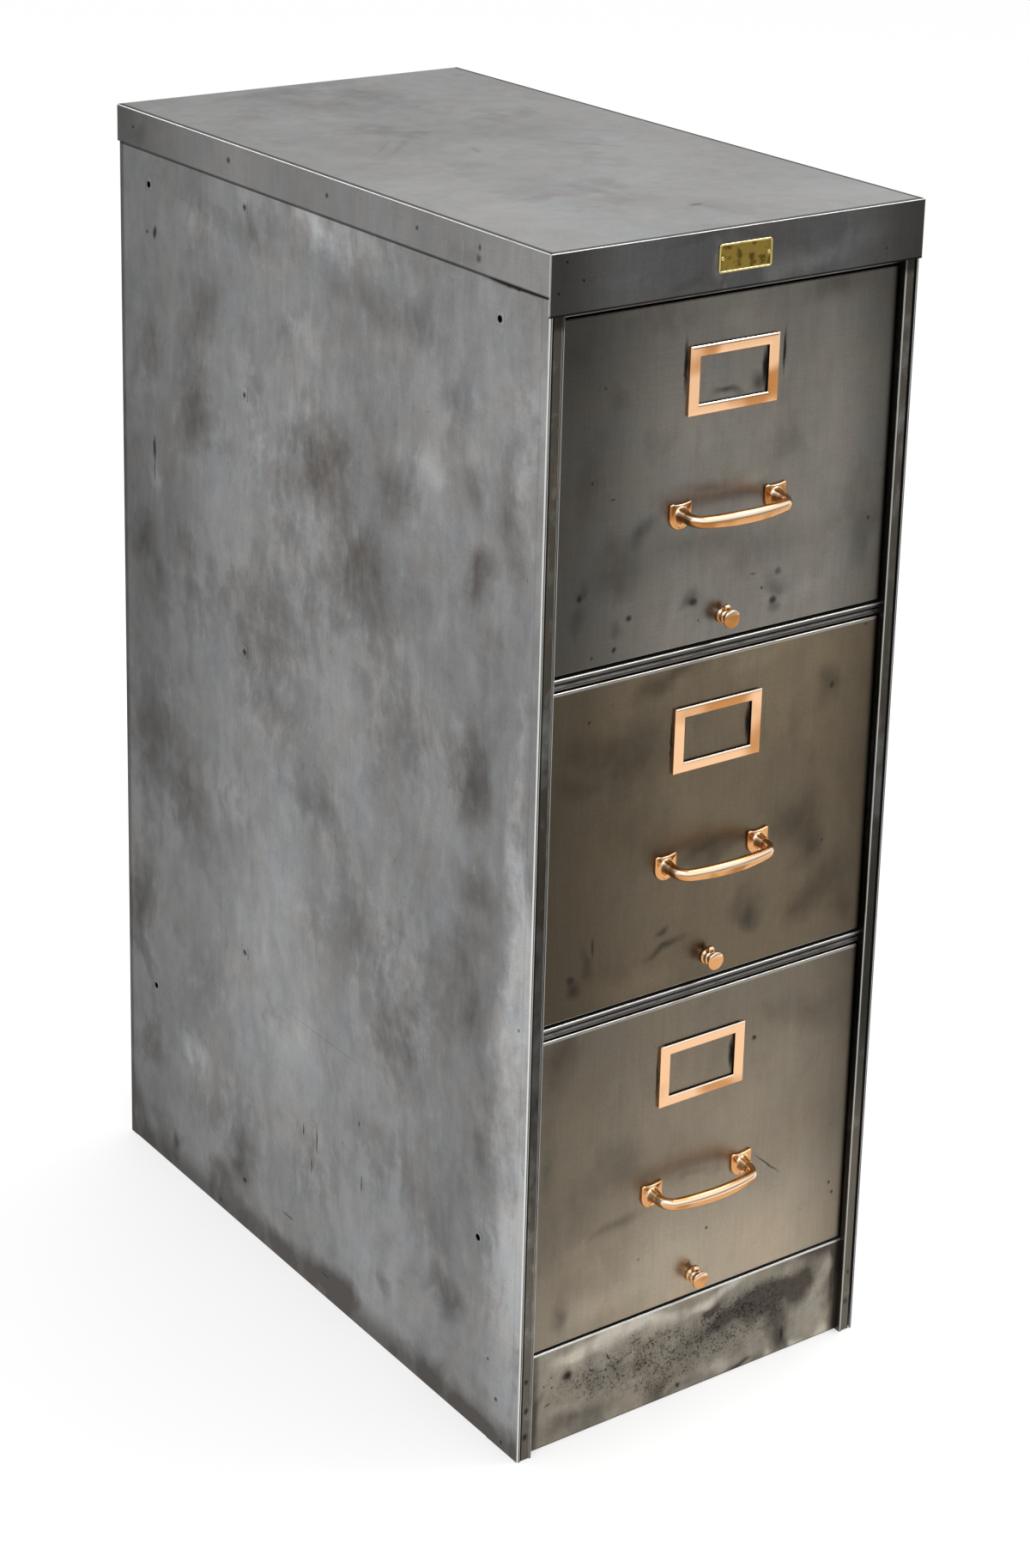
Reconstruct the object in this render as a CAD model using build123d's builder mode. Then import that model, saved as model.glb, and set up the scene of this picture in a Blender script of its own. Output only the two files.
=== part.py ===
from build123d import *
from math import cos, radians, sin
import os

os.makedirs("parts", exist_ok=True)

# Three-drawer steel filing cabinet, in millimetres.
# X runs to the right, Y to the back, Z up; the origin is on the floor, under the middle
# of the space that the cabinet and its pulls take up.

# Sheet thicknesses
cap_sheet = 1.2
panel_sheet = 1.0
post_sheet = 1.2
rail_sheet = 1.0
kick_sheet = 1.2
pan_sheet = 1.0
front_sheet = 1.2
tub_sheet = 1.0
channel_sheet = 1.5
follower_sheet = 1.2

# Case, seen from the front
post_width = 14.0
post_depth = 38.0
post_lip = 2.4
post_face_drop = 1.0
post_groove = 1.0
panel_front_fold = 3.0
panel_rear_fold = 12.0
panel_foot_fold = 15.0
case_depth = 670.0
post_return = 30.0

# Cap
cap_gap = 0.3
cap_front_drop = 50.0
cap_side_drop = 34.0
cap_edge_radius = 0.9

# Heights of the front, from the floor up
kick_height = 93.5
kick_foot = 15.0
kick_shelf = 44.0
gap_below_drawer = 3.0
drawer_height = 292.0
gap_above_drawer = 1.5
rail_height = 10.0
rail_shelf = 25.0
rail_nose = 3.0
rail_groove = 2.5
rail_slope = 1.5
rail_lower_face = 2.5
rail_lower_setback = 0.8
header_height = 52.8
header_shelf = 24.0

# Holes for bolting cabinets side by side
joining_hole_radius = 2.5
joining_front = 64.9
joining_from_back = 54.1
joining_low = 185.0
joining_from_top = 64.3

# Inside of the case
pan_drop = 20.0
upright_from_front = 448.0
upright_half = 17.0
upright_flange = 15.0
upright_top_room = 15.0

# Drawer front
drawer_recess = 6.5
drawer_side_gap = 1.5
front_depth = 20.0
front_edge_radius = 1.5

# Drawer tub, and the room for a slide beside it
tub_half = 159.0
slide_space = 15.0
tub_floor_gap = 5.0
tub_side_height = 257.0
tub_rim = 6.0
rear_room = 22.0

# Slides: a case channel, a roller arm and a drawer channel on each side
slide_height = 150.0
roller_radius = 12.5
roll_gap = 0.3
lift_gap = 0.6
slide_front = 30.0
case_channel_length = 610.0
drawer_channel_length = 598.0
channel_tip_gap = 0.8
arm_thickness = 2.2
arm_height = 18.0
arm_start = 34.0
arm_length = 570.0
roller_side_gap = 0.4
axle_radius = 2.5
axle_clearance = 0.05
roller_stations = {"front": 50.0, "middle": 330.0, "rear": 588.0}

# Label holder
holder_width = 92.0
holder_height = 57.5
holder_border_side = 10.5
holder_border_top = 9.0
holder_thickness = 3.0
holder_slot = 1.4
holder_slot_margin = 4.5
holder_chamfer = 0.8
holder_drop = 67.5
tab_width = 8.0
tab_thickness = 1.0
tab_length = 2.6
tab_spacing = 34.0
tab_clearance = 0.15

# Pull
pull_rise = 115.0
pull_half_span = 49.5
pull_leg = 10.0
pull_bend_radius = 12.0
pull_bow_angle = 13.7
pull_bar_radius = 4.8
pull_droop_angle = 4.0
foot_half_width = 11.0
foot_top = 11.5
foot_top_dip = 2.0
foot_bottom = 13.0
foot_thickness = 2.4
cone_base_radius = 7.5
cone_taper = 21.0
cone_height = 6.0
pull_screw_drop = 9.9
pull_screw_radius = 1.5
pull_screw_length = 9.0
pull_screw_head_radius = 2.2
pull_screw_head_height = 1.3
pull_screw_head_taper = 30.0
screw_clearance = 0.1

# Guide rod, its knob, collar and catch
rod_rise = 20.0
rod_radius = 3.5
rod_fit = 0.05
rod_hole_clearance = 0.4
rod_tail = 3.0
collar_flange_radius = 7.0
collar_flange = 3.4
collar_waist_radius = 5.6
collar_ridge_radius = 6.3
collar_length = 7.8
collar_round = 1.2
collar_sleeve_radius = 5.0
sleeve_clearance = 0.1
knob_gap = 2.2
knob_neck_radius = 4.4
knob_neck = 1.6
knob_head_radius = 8.8
knob_rim = 2.0
knob_crown = 1.6
knob_socket = 3.0
catch_from_face = 5.9
catch_stem_radius = 1.2
catch_ball_radius = 2.9
catch_ball_rise = 9.6
catch_tip_gap = 0.3

# Follower
follower_side_gap = 9.0
follower_height = 190.0
follower_fold = 12.0
follower_foot = 60.0
follower_from_back = 72.0
follower_floor_gap = 0.3
follower_rod_hole = 5.5

# Nameplate
plate_width = 54.0
plate_height = 23.5
plate_thickness = 0.8
plate_border = 1.4
plate_border_rise = 0.4
plate_centre_drop = 24.0
pin_inset = 3.4
pin_radius = 0.9
pin_head_radius = 1.7
pin_head_height = 0.9
pin_head_taper = 25.0
pin_tail = 2.0
pin_clearance = 0.1

drawer_names = ["lower", "middle", "upper"]

# Places across the case
opening_half = tub_half + slide_space
panel_inner = opening_half + post_width
case_half = panel_inner + panel_sheet
cap_half = case_half + cap_gap + cap_sheet
follower_half = tub_half - follower_side_gap

# Places from front to back
pull_reach = (
    pull_leg
    + pull_bend_radius * cos(radians(pull_bow_angle))
    + (pull_half_span - pull_bend_radius * (1 - sin(radians(pull_bow_angle))))
    * (1 - cos(radians(pull_bow_angle)))
    / sin(radians(pull_bow_angle))
)
pull_projection = (pull_reach + foot_thickness) * cos(radians(pull_droop_angle)) + pull_bar_radius
ahead_of_case = pull_projection - drawer_recess
cap_overhang = cap_gap + cap_sheet
case_front = (ahead_of_case - case_depth - cap_overhang) / 2
case_back = case_front + case_depth
face_y = case_front + drawer_recess
tub_front = face_y + front_depth
joining_rear = case_depth - joining_from_back
back_inner = case_back - 2 * panel_sheet
tub_back = back_inner - rear_room

# Places from the floor up
pitch = drawer_height + gap_above_drawer + rail_height + gap_below_drawer
first_floor = kick_height + gap_below_drawer
drawer_floors = {}
for number, drawer_name in enumerate(drawer_names):
    drawer_floors[drawer_name] = first_floor + number * pitch
header_bottom = first_floor + (len(drawer_names) - 1) * pitch + drawer_height + gap_above_drawer
case_top = header_bottom + header_height
cabinet_height = case_top + cap_sheet
joining_high = case_top - joining_from_top
holder_rise = drawer_height - holder_drop
pan_top = kick_height - kick_sheet

# Slide section, across the case
slide_inner = tub_half + channel_sheet
slide_outer = opening_half - channel_sheet
slide_middle = (slide_inner + slide_outer) / 2
arm_inner = slide_middle - arm_thickness / 2
arm_outer = slide_middle + arm_thickness / 2


def save(part, name):
    """Label a finished piece and write it under its own name."""
    part.label = name
    export_step(part, f"parts/{name}.step")


def sheet_section(points, thickness, side):
    """Section of a bent sheet whose skin follows the points, with its metal on one side."""
    with BuildSketch() as section:
        with BuildLine():
            Polyline(*points)
            offset(amount=thickness, side=side, kind=Kind.INTERSECTION)
        make_face()
    return section.sketch


def block(low, high):
    """A plain block between two corners, for use inside a part."""
    size = [b - a for a, b in zip(low, high)]
    with Locations(tuple((a + b) / 2 for a, b in zip(low, high))):
        Box(*size)


def cut_block(low, high):
    """The same block, taken away."""
    size = [b - a for a, b in zip(low, high)]
    with Locations(tuple((a + b) / 2 for a, b in zip(low, high))):
        Box(*size, mode=Mode.SUBTRACT)


# Case


def make_cap():
    """Folded lid with a deep front apron and lower skirts on the other sides."""
    low_y = case_front - cap_overhang
    high_y = case_back + cap_overhang
    with BuildPart() as cap:
        block((-cap_half, low_y, case_top - cap_side_drop + cap_sheet), (cap_half, high_y, cabinet_height))
        block(
            (-cap_half, low_y, cabinet_height - cap_front_drop),
            (cap_half, low_y + cap_sheet, cabinet_height - cap_side_drop),
        )
        fillet(cap.edges().group_by(Axis.Z)[-1], cap_edge_radius)
        cut_block(
            (cap_sheet - cap_half, low_y + cap_sheet, case_top - cap_front_drop),
            (cap_half - cap_sheet, high_y - cap_sheet, case_top),
        )
        with BuildSketch(Plane.XZ.offset(-low_y)):
            with Locations(*pin_places()):
                Circle(pin_radius + pin_clearance)
        extrude(amount=-cap_sheet, mode=Mode.SUBTRACT)
    return cap.part


def pin_places():
    """Centres of the two nameplate pins, in X and Z."""
    rise = cabinet_height - plate_centre_drop
    reach = plate_width / 2 - pin_inset
    return [(-reach, rise), (reach, rise)]


def make_side_panel(side):
    """One side of the case: a plain sheet folded round the post, the back and the foot."""
    skin = [
        (side * (case_half - panel_front_fold), case_front),
        (side * case_half, case_front),
        (side * case_half, case_back),
        (side * (case_half - panel_rear_fold), case_back),
    ]
    metal = Side.LEFT if side > 0 else Side.RIGHT
    with BuildPart() as panel:
        with BuildSketch():
            add(sheet_section(skin, panel_sheet, metal))
        extrude(amount=case_top)
        edges = sorted((side * panel_inner, side * (panel_inner - panel_foot_fold)))
        block((edges[0], case_front + post_depth, 0), (edges[1], case_back - panel_sheet, panel_sheet))
        with BuildSketch(Plane.YZ.offset(side * case_half)):
            with Locations(*joining_places()):
                Circle(joining_hole_radius)
        extrude(amount=-side * panel_sheet, mode=Mode.SUBTRACT)
    return panel.part


def joining_places():
    """Centres of the four joining holes in a side, in Y and Z."""
    return [
        (case_front + along, rise)
        for along in (joining_front, joining_rear)
        for rise in (joining_low, joining_high)
    ]


def make_back_panel():
    """Flat sheet inside the rear folds of the two sides, with a foot fold."""
    outer = case_back - panel_sheet
    with BuildPart() as panel:
        block((-panel_inner, outer - panel_sheet, panel_sheet), (panel_inner, outer, case_top))
        block(
            (panel_foot_fold - panel_inner, outer - panel_foot_fold, 0),
            (panel_inner - panel_foot_fold, outer, panel_sheet),
        )
    return panel.part


def make_front_post(side):
    """Channel post beside the drawers, with a raised lip at the opening."""
    face = case_front + post_face_drop
    outer_end = case_half - panel_front_fold - post_groove
    rear = case_front + post_depth
    section = [
        (outer_end, face),
        (opening_half + post_lip, face),
        (opening_half + post_lip, case_front),
        (opening_half, case_front),
        (opening_half, rear),
        (panel_inner, rear),
        (panel_inner, rear - post_return),
        (panel_inner - post_sheet, rear - post_return),
        (panel_inner - post_sheet, rear - post_sheet),
        (opening_half + post_sheet, rear - post_sheet),
        (opening_half + post_sheet, face + post_sheet),
        (outer_end, face + post_sheet),
    ]
    with BuildPart() as post:
        with BuildSketch():
            with BuildLine():
                Polyline(*[(side * x, y) for x, y in section], close=True)
            make_face()
        extrude(amount=case_top)
    return post.part


def make_rear_uprights():
    """Pair of hat-section uprights on the sides, which carry the slides."""
    middle = case_front + upright_from_front
    flange = panel_inner - post_sheet
    skin = [
        (flange, middle - upright_half - upright_flange),
        (flange, middle - upright_half),
        (opening_half, middle - upright_half),
        (opening_half, middle + upright_half),
        (flange, middle + upright_half),
        (flange, middle + upright_half + upright_flange),
    ]
    with BuildPart() as uprights:
        with BuildSketch(Plane.XY.offset(pan_top)):
            add(sheet_section(skin, post_sheet, Side.RIGHT))
            mirror(about=Plane.YZ)
        extrude(amount=case_top - pan_top - upright_top_room)
    return uprights.part


def make_cross_piece(skin, thickness):
    """A bent sheet that spans the opening, from its skin in Y and Z."""
    with BuildPart() as piece:
        with BuildSketch(Plane.YZ):
            add(sheet_section(skin, thickness, Side.RIGHT))
        extrude(amount=opening_half, both=True)
    return piece.part


def make_header_rail():
    """Channel above the top drawer, behind the cap's apron."""
    skin = [
        (face_y + header_shelf, header_bottom),
        (face_y, header_bottom),
        (face_y, case_top),
        (face_y + header_shelf, case_top),
    ]
    return make_cross_piece(skin, rail_sheet)


def make_divider_rail(floor):
    """Rail above a drawer, with a bright nose over a shallow hollow."""
    low = floor + drawer_height + gap_above_drawer
    high = low + rail_height
    lower_y = face_y + rail_lower_setback
    skin = [
        (face_y + rail_shelf, low),
        (lower_y, low),
        (lower_y, low + rail_lower_face),
        (face_y + rail_groove, low + rail_lower_face + rail_slope),
        (face_y + rail_groove, high - rail_nose - rail_slope),
        (face_y, high - rail_nose),
        (face_y, high),
        (face_y + rail_shelf, high),
    ]
    return make_cross_piece(skin, rail_sheet)


def make_kick_plate():
    """Plate under the bottom drawer, with a foot fold and a shelf that lies on the pan."""
    skin = [
        (face_y + kick_foot, 0),
        (face_y, 0),
        (face_y, kick_height),
        (face_y + kick_shelf, kick_height),
    ]
    return make_cross_piece(skin, kick_sheet)


def make_bottom_pan():
    """Tray that closes the bottom of the case, open underneath."""
    front = case_front + post_depth
    with BuildPart() as pan:
        block((-panel_inner, front, pan_top - pan_drop), (panel_inner, back_inner, pan_top))
        cut_block(
            (pan_sheet - panel_inner, front + pan_sheet, pan_top - pan_drop),
            (panel_inner - pan_sheet, back_inner - pan_sheet, pan_top - pan_sheet),
        )
    return pan.part


def make_case_channels():
    """The channels on the posts and uprights: two for each drawer, open to the middle."""
    tip = slide_middle + channel_tip_gap / 2
    with BuildPart() as channels:
        for floor in drawer_floors.values():
            axle = floor + slide_height
            low = axle - roller_radius - roll_gap
            high = axle + roller_radius + lift_gap
            skin = [(tip, low), (slide_outer, low), (slide_outer, high), (tip, high)]
            with BuildSketch(Plane.XZ.offset(-case_front - slide_front)):
                add(sheet_section(skin, channel_sheet, Side.RIGHT))
                mirror(about=Plane.YZ)
            extrude(amount=-case_channel_length)
    return channels.part


def make_nameplate():
    """Bare plate on the cap's apron, with a raised border."""
    front = case_front - cap_overhang
    middle = cabinet_height - plate_centre_drop
    with BuildPart() as plate:
        with BuildSketch(Plane.XZ.offset(-front)):
            with Locations((0, middle)):
                Rectangle(plate_width, plate_height)
        extrude(amount=plate_thickness + plate_border_rise)
        with BuildSketch(Plane.XZ.offset(plate_thickness - front)):
            with Locations((0, middle)):
                Rectangle(plate_width - 2 * plate_border, plate_height - 2 * plate_border)
        extrude(amount=plate_border_rise, mode=Mode.SUBTRACT)
        with BuildSketch(Plane.XZ.offset(-front)):
            with Locations(*pin_places()):
                Circle(pin_radius + pin_clearance)
        extrude(amount=plate_thickness, mode=Mode.SUBTRACT)
    return plate.part


def make_nameplate_pins():
    """The two pins that hold the nameplate to the cap."""
    skin = Plane.XZ.offset(plate_thickness - case_front + cap_overhang)
    with BuildPart() as pins:
        with BuildSketch(skin):
            with Locations(*pin_places()):
                Circle(pin_head_radius)
        extrude(amount=pin_head_height, taper=pin_head_taper)
        with BuildSketch(skin):
            with Locations(*pin_places()):
                Circle(pin_radius)
        extrude(amount=-plate_thickness - cap_sheet - pin_tail)
    return pins.part


# Drawers


def holder_tab_places(floor):
    """Centres of the four label-holder tabs on a drawer front, in X and Z."""
    reach = (holder_width - holder_border_side) / 2
    rise = floor + holder_rise
    return [(x, rise + z) for x in (-reach, reach) for z in (-tab_spacing / 2, tab_spacing / 2)]


def screw_places(floor):
    """Centres of the two pull screws on a drawer front, in X and Z."""
    rise = floor + pull_rise - pull_screw_drop
    return [(-pull_half_span, rise), (pull_half_span, rise)]


def make_drawer_front(floor):
    """Folded pan that shows as the drawer's face."""
    half = opening_half - drawer_side_gap
    with BuildPart() as front:
        block((-half, face_y, floor), (half, tub_front, floor + drawer_height))
        fillet(front.faces().sort_by(Axis.Y)[0].edges(), front_edge_radius)
        cut_block(
            (front_sheet - half, face_y + front_sheet, floor + front_sheet),
            (half - front_sheet, tub_front, floor + drawer_height - front_sheet),
        )
        with BuildSketch(Plane.XZ.offset(-face_y)):
            with Locations(*screw_places(floor)):
                Circle(pull_screw_radius + screw_clearance)
            with Locations((0, floor + rod_rise)):
                Circle(collar_sleeve_radius + sleeve_clearance)
            with Locations(*holder_tab_places(floor)):
                Rectangle(tab_thickness + 2 * tab_clearance, tab_width + 2 * tab_clearance)
        extrude(amount=-front_sheet, mode=Mode.SUBTRACT)
    return front.part


def make_drawer_body(floor):
    """Open tub behind the front, with rolled-out rims on its sides."""
    low = floor + tub_floor_gap
    high = low + tub_side_height
    with BuildPart() as body:
        block((-tub_half, tub_front, low), (tub_half, tub_back, high))
        cut_block(
            (tub_sheet - tub_half, tub_front + tub_sheet, low + tub_sheet),
            (tub_half - tub_sheet, tub_back - tub_sheet, high),
        )
        for side in (-1, 1):
            edges = sorted((side * tub_half, side * (tub_half + tub_rim)))
            block((edges[0], tub_front, high - tub_sheet), (edges[1], tub_back, high))
        with BuildSketch(Plane.XZ.offset(-tub_front)):
            with Locations((0, floor + rod_rise)):
                Circle(rod_radius + rod_hole_clearance)
        extrude(amount=tub_front - tub_back, mode=Mode.SUBTRACT)
    return body.part


def make_drawer_channels(floor):
    """The two channels on the tub's sides, open outwards."""
    axle = floor + slide_height
    tip = slide_middle - channel_tip_gap / 2
    low = axle - roller_radius - lift_gap
    high = axle + roller_radius + roll_gap
    skin = [(tip, low), (slide_inner, low), (slide_inner, high), (tip, high)]
    with BuildPart() as channels:
        with BuildSketch(Plane.XZ.offset(-case_front - slide_front)):
            add(sheet_section(skin, channel_sheet, Side.LEFT))
            mirror(about=Plane.YZ)
        extrude(amount=-drawer_channel_length)
    return channels.part


def make_roller_arms(floor):
    """The two flat bars that carry the rollers between the channels."""
    axle = floor + slide_height
    start = case_front + arm_start
    with BuildPart() as arms:
        for side in (-1, 1):
            edges = sorted((side * arm_inner, side * arm_outer))
            block(
                (edges[0], start, axle - arm_height / 2),
                (edges[1], start + arm_length, axle + arm_height / 2),
            )
        with BuildSketch(Plane.YZ.offset(-arm_outer)):
            with Locations(*[(case_front + along, axle) for along in roller_stations.values()]):
                Circle(axle_radius + axle_clearance)
        extrude(amount=2 * arm_outer, mode=Mode.SUBTRACT)
    return arms.part


def make_rollers(floor, station):
    """One roller at each side: two discs on one axle, astride the arm."""
    axle = floor + slide_height
    inner_end = slide_inner + roller_side_gap
    outer_end = slide_outer - roller_side_gap
    inner_face = arm_inner - roller_side_gap
    outer_face = arm_outer + roller_side_gap
    with BuildPart() as rollers:
        for side in (-1, 1):
            for start, end, radius in (
                (inner_end, inner_face, roller_radius),
                (inner_face, outer_face, axle_radius),
                (outer_face, outer_end, roller_radius),
            ):
                with BuildSketch(Plane.YZ.offset(side * start)):
                    with Locations((case_front + station, axle)):
                        Circle(radius)
                extrude(amount=side * (end - start))
    return rollers.part


def make_label_holder(floor):
    """Frame with a slot for a card behind it, open at the top, and its four tabs."""
    rise = floor + holder_rise
    window_width = holder_width - 2 * holder_border_side
    window_height = holder_height - 2 * holder_border_top
    slot_half = holder_width / 2 - holder_slot_margin
    low = rise - holder_height / 2
    high = rise + holder_height / 2
    with BuildPart() as holder:
        with BuildSketch(Plane.XZ.offset(-face_y)):
            with Locations((0, rise)):
                Rectangle(holder_width, holder_height)
        extrude(amount=holder_thickness)
        with BuildSketch(Plane.XZ.offset(-face_y)):
            with Locations((0, rise)):
                Rectangle(window_width, window_height)
        extrude(amount=holder_thickness, mode=Mode.SUBTRACT)
        chamfer(holder.faces().sort_by(Axis.Y)[0].edges(), holder_chamfer)
        cut_block((-slot_half, face_y - holder_slot, low + holder_slot_margin), (slot_half, face_y, high))
        with BuildSketch(Plane.XZ.offset(-face_y)):
            with Locations(*holder_tab_places(floor)):
                Rectangle(tab_thickness, tab_width)
        extrude(amount=holder_slot, both=True)
        with BuildSketch(Plane.XZ.offset(-face_y)):
            with Locations(*holder_tab_places(floor)):
                Rectangle(tab_thickness, tab_width)
        extrude(amount=-tab_length)
    return holder.part


def make_pull(floor):
    """One-piece bow on two shield-shaped feet."""
    rise = floor + pull_rise
    root_y = face_y - foot_thickness
    droop = radians(pull_droop_angle)
    bow_plane = Plane(origin=(0, root_y, rise), x_dir=(1, 0, 0), z_dir=(0, -sin(droop), cos(droop)))
    bend = 90 - pull_bow_angle
    bar_half = pull_half_span - pull_bend_radius * (1 - cos(radians(bend)))
    bow_radius = bar_half / sin(radians(pull_bow_angle))
    with BuildPart() as pull:
        with BuildLine(bow_plane) as bow:
            leg = Line((-pull_half_span, 0), (-pull_half_span, -pull_leg))
            left = JernArc(leg @ 1, leg % 1, pull_bend_radius, bend)
            middle = JernArc(left @ 1, left % 1, bow_radius, 2 * pull_bow_angle)
            right = JernArc(middle @ 1, middle % 1, pull_bend_radius, bend)
            Line(right @ 1, (pull_half_span, 0))
        with BuildSketch(Plane(origin=bow.line @ 0, z_dir=bow.line % 0)):
            Circle(pull_bar_radius)
        sweep(path=bow.line)
        with BuildSketch(Plane.XZ.offset(-face_y)):
            for side in (-1, 1):
                with BuildLine():
                    centre = side * pull_half_span
                    left_top = (centre - foot_half_width, rise + foot_top)
                    right_top = (centre + foot_half_width, rise + foot_top)
                    left_low = (centre - foot_half_width, rise - foot_bottom + foot_half_width)
                    right_low = (centre + foot_half_width, rise - foot_bottom + foot_half_width)
                    ThreePointArc(left_top, (centre, rise + foot_top - foot_top_dip), right_top)
                    Line(right_top, right_low)
                    ThreePointArc(right_low, (centre, rise - foot_bottom), left_low)
                    Line(left_low, left_top)
                make_face()
        extrude(amount=foot_thickness)
        with BuildSketch(Plane.XZ.offset(-root_y)):
            with Locations((-pull_half_span, rise), (pull_half_span, rise)):
                Circle(cone_base_radius)
        extrude(amount=cone_height, taper=cone_taper)
        with BuildSketch(Plane.XZ.offset(-face_y)):
            with Locations(*screw_places(floor)):
                Circle(pull_screw_radius + screw_clearance)
        extrude(amount=foot_thickness, mode=Mode.SUBTRACT)
    return pull.part


def make_pull_screws(floor):
    """The two screws that hold the pull's feet to the front."""
    root_y = face_y - foot_thickness
    with BuildPart() as screws:
        with BuildSketch(Plane.XZ.offset(-root_y)):
            with Locations(*screw_places(floor)):
                Circle(pull_screw_radius)
        extrude(amount=-pull_screw_length)
        with BuildSketch(Plane.XZ.offset(-root_y)):
            with Locations(*screw_places(floor)):
                Circle(pull_screw_head_radius)
        extrude(amount=pull_screw_head_height, taper=pull_screw_head_taper)
    return screws.part


def turned(floor, profile):
    """Turn a closed profile of radius and distance out of the face about the rod's axis."""
    axis_point = (0, face_y, floor + rod_rise)
    with BuildPart() as piece:
        with BuildSketch(Plane(origin=axis_point, x_dir=(1, 0, 0), z_dir=(0, 0, -1))):
            with BuildLine():
                Polyline(*profile, close=True)
            make_face()
        revolve(axis=Axis(axis_point, (0, 1, 0)))
    return piece.part


def make_rod_collar(floor):
    """Flanged collar in the front, which guides the rod and holds its catch."""
    bore = rod_radius + rod_fit
    profile = [
        (bore, -front_depth),
        (collar_sleeve_radius, -front_depth),
        (collar_sleeve_radius, 0),
        (collar_flange_radius, 0),
        (collar_flange_radius, collar_flange - collar_round),
        (collar_flange_radius - collar_round, collar_flange),
        (collar_waist_radius, collar_flange),
        (collar_ridge_radius, collar_flange + collar_round),
        (collar_ridge_radius, collar_length - collar_round),
        (collar_ridge_radius - collar_round, collar_length),
        (bore, collar_length),
    ]
    with BuildPart() as collar:
        add(turned(floor, profile))
        with BuildSketch(Plane.XY.offset(floor + rod_rise)):
            with Locations((0, face_y - catch_from_face)):
                Circle(catch_stem_radius + rod_fit)
        extrude(amount=2 * collar_flange_radius, mode=Mode.SUBTRACT)
    return collar.part


def make_rod_knob(floor):
    """Mushroom knob on the front end of the guide rod."""
    back = collar_length + knob_gap
    rim = back + knob_neck
    front = rim + knob_rim + knob_crown
    bore = rod_radius + rod_fit
    profile = [
        (bore, back),
        (knob_neck_radius, back),
        (knob_head_radius, rim),
        (knob_head_radius, rim + knob_rim),
        (knob_head_radius - knob_crown, front),
        (0, front),
        (0, back + knob_socket),
        (bore, back + knob_socket),
    ]
    return turned(floor, profile)


def make_guide_rod(floor):
    """Rod along the drawer's floor, from the knob to the tub's back."""
    tip = collar_length + knob_gap + knob_socket
    with BuildPart() as rod:
        with BuildSketch(Plane.XZ.offset(tip - face_y)):
            with Locations((0, floor + rod_rise)):
                Circle(rod_radius)
        extrude(amount=face_y - tip - tub_back - rod_tail)
    return rod.part


def make_rod_catch(floor):
    """Ball-topped plunger above the collar, which is lifted to free the rod."""
    axis_z = floor + rod_rise
    tip = axis_z + rod_radius + catch_tip_gap
    y = face_y - catch_from_face
    with BuildPart() as catch:
        with BuildSketch(Plane.XY.offset(tip)):
            with Locations((0, y)):
                Circle(catch_stem_radius)
        extrude(amount=axis_z + catch_ball_rise - tip)
        with Locations((0, y, axis_z + catch_ball_rise)):
            Sphere(catch_ball_radius)
    return catch.part


def make_follower(floor):
    """Upright plate that holds the files, on a foot that slides on the tub's floor."""
    low = floor + tub_floor_gap + tub_sheet + follower_floor_gap
    front = tub_back - tub_sheet - follower_from_back
    skin = [
        (-follower_half, front + follower_fold),
        (-follower_half, front),
        (follower_half, front),
        (follower_half, front + follower_fold),
    ]
    with BuildPart() as follower:
        with BuildSketch(Plane.XY.offset(low)):
            add(sheet_section(skin, follower_sheet, Side.LEFT))
        extrude(amount=follower_height)
        block((-follower_half, front, low), (follower_half, front + follower_foot, low + follower_sheet))
        with BuildSketch(Plane.XZ.offset(-front)):
            with Locations((0, floor + rod_rise)):
                Circle(follower_rod_hole)
        extrude(amount=-follower_sheet, mode=Mode.SUBTRACT)
    return follower.part


save(make_cap(), "top_cap")
save(make_side_panel(-1), "left_side_panel")
save(make_side_panel(1), "right_side_panel")
save(make_back_panel(), "back_panel")
save(make_front_post(-1), "left_front_post")
save(make_front_post(1), "right_front_post")
save(make_rear_uprights(), "rear_uprights")
save(make_header_rail(), "header_rail")
for drawer_name in drawer_names[:-1]:
    save(make_divider_rail(drawer_floors[drawer_name]), f"{drawer_name}_rail")
save(make_kick_plate(), "kick_plate")
save(make_bottom_pan(), "bottom_pan")
save(make_case_channels(), "case_channels")
save(make_nameplate(), "nameplate")
save(make_nameplate_pins(), "nameplate_pins")

for drawer_name, floor in drawer_floors.items():
    save(make_drawer_front(floor), f"{drawer_name}_drawer_front")
    save(make_drawer_body(floor), f"{drawer_name}_drawer_body")
    save(make_drawer_channels(floor), f"{drawer_name}_drawer_channels")
    save(make_roller_arms(floor), f"{drawer_name}_roller_arms")
    for station_name, station in roller_stations.items():
        save(make_rollers(floor, station), f"{drawer_name}_{station_name}_rollers")
    save(make_label_holder(floor), f"{drawer_name}_label_holder")
    save(make_pull(floor), f"{drawer_name}_pull")
    save(make_pull_screws(floor), f"{drawer_name}_pull_screws")
    save(make_rod_collar(floor), f"{drawer_name}_rod_collar")
    save(make_rod_knob(floor), f"{drawer_name}_rod_knob")
    save(make_guide_rod(floor), f"{drawer_name}_guide_rod")
    save(make_rod_catch(floor), f"{drawer_name}_rod_catch")
    save(make_follower(floor), f"{drawer_name}_follower")
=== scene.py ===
"""Looks of a three-drawer steel filing cabinet with copper fittings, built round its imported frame.

Lengths are in metres, in the frame's own axes: X runs to the right, Y to the back and Z up.
"""

import logging
from collections.abc import Callable, Sequence
from dataclasses import dataclass
from enum import Enum
from math import atan2, cos, pi, radians, sin, tan

import bmesh
import bpy
import numpy as np
from mathutils import Matrix, Vector


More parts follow.
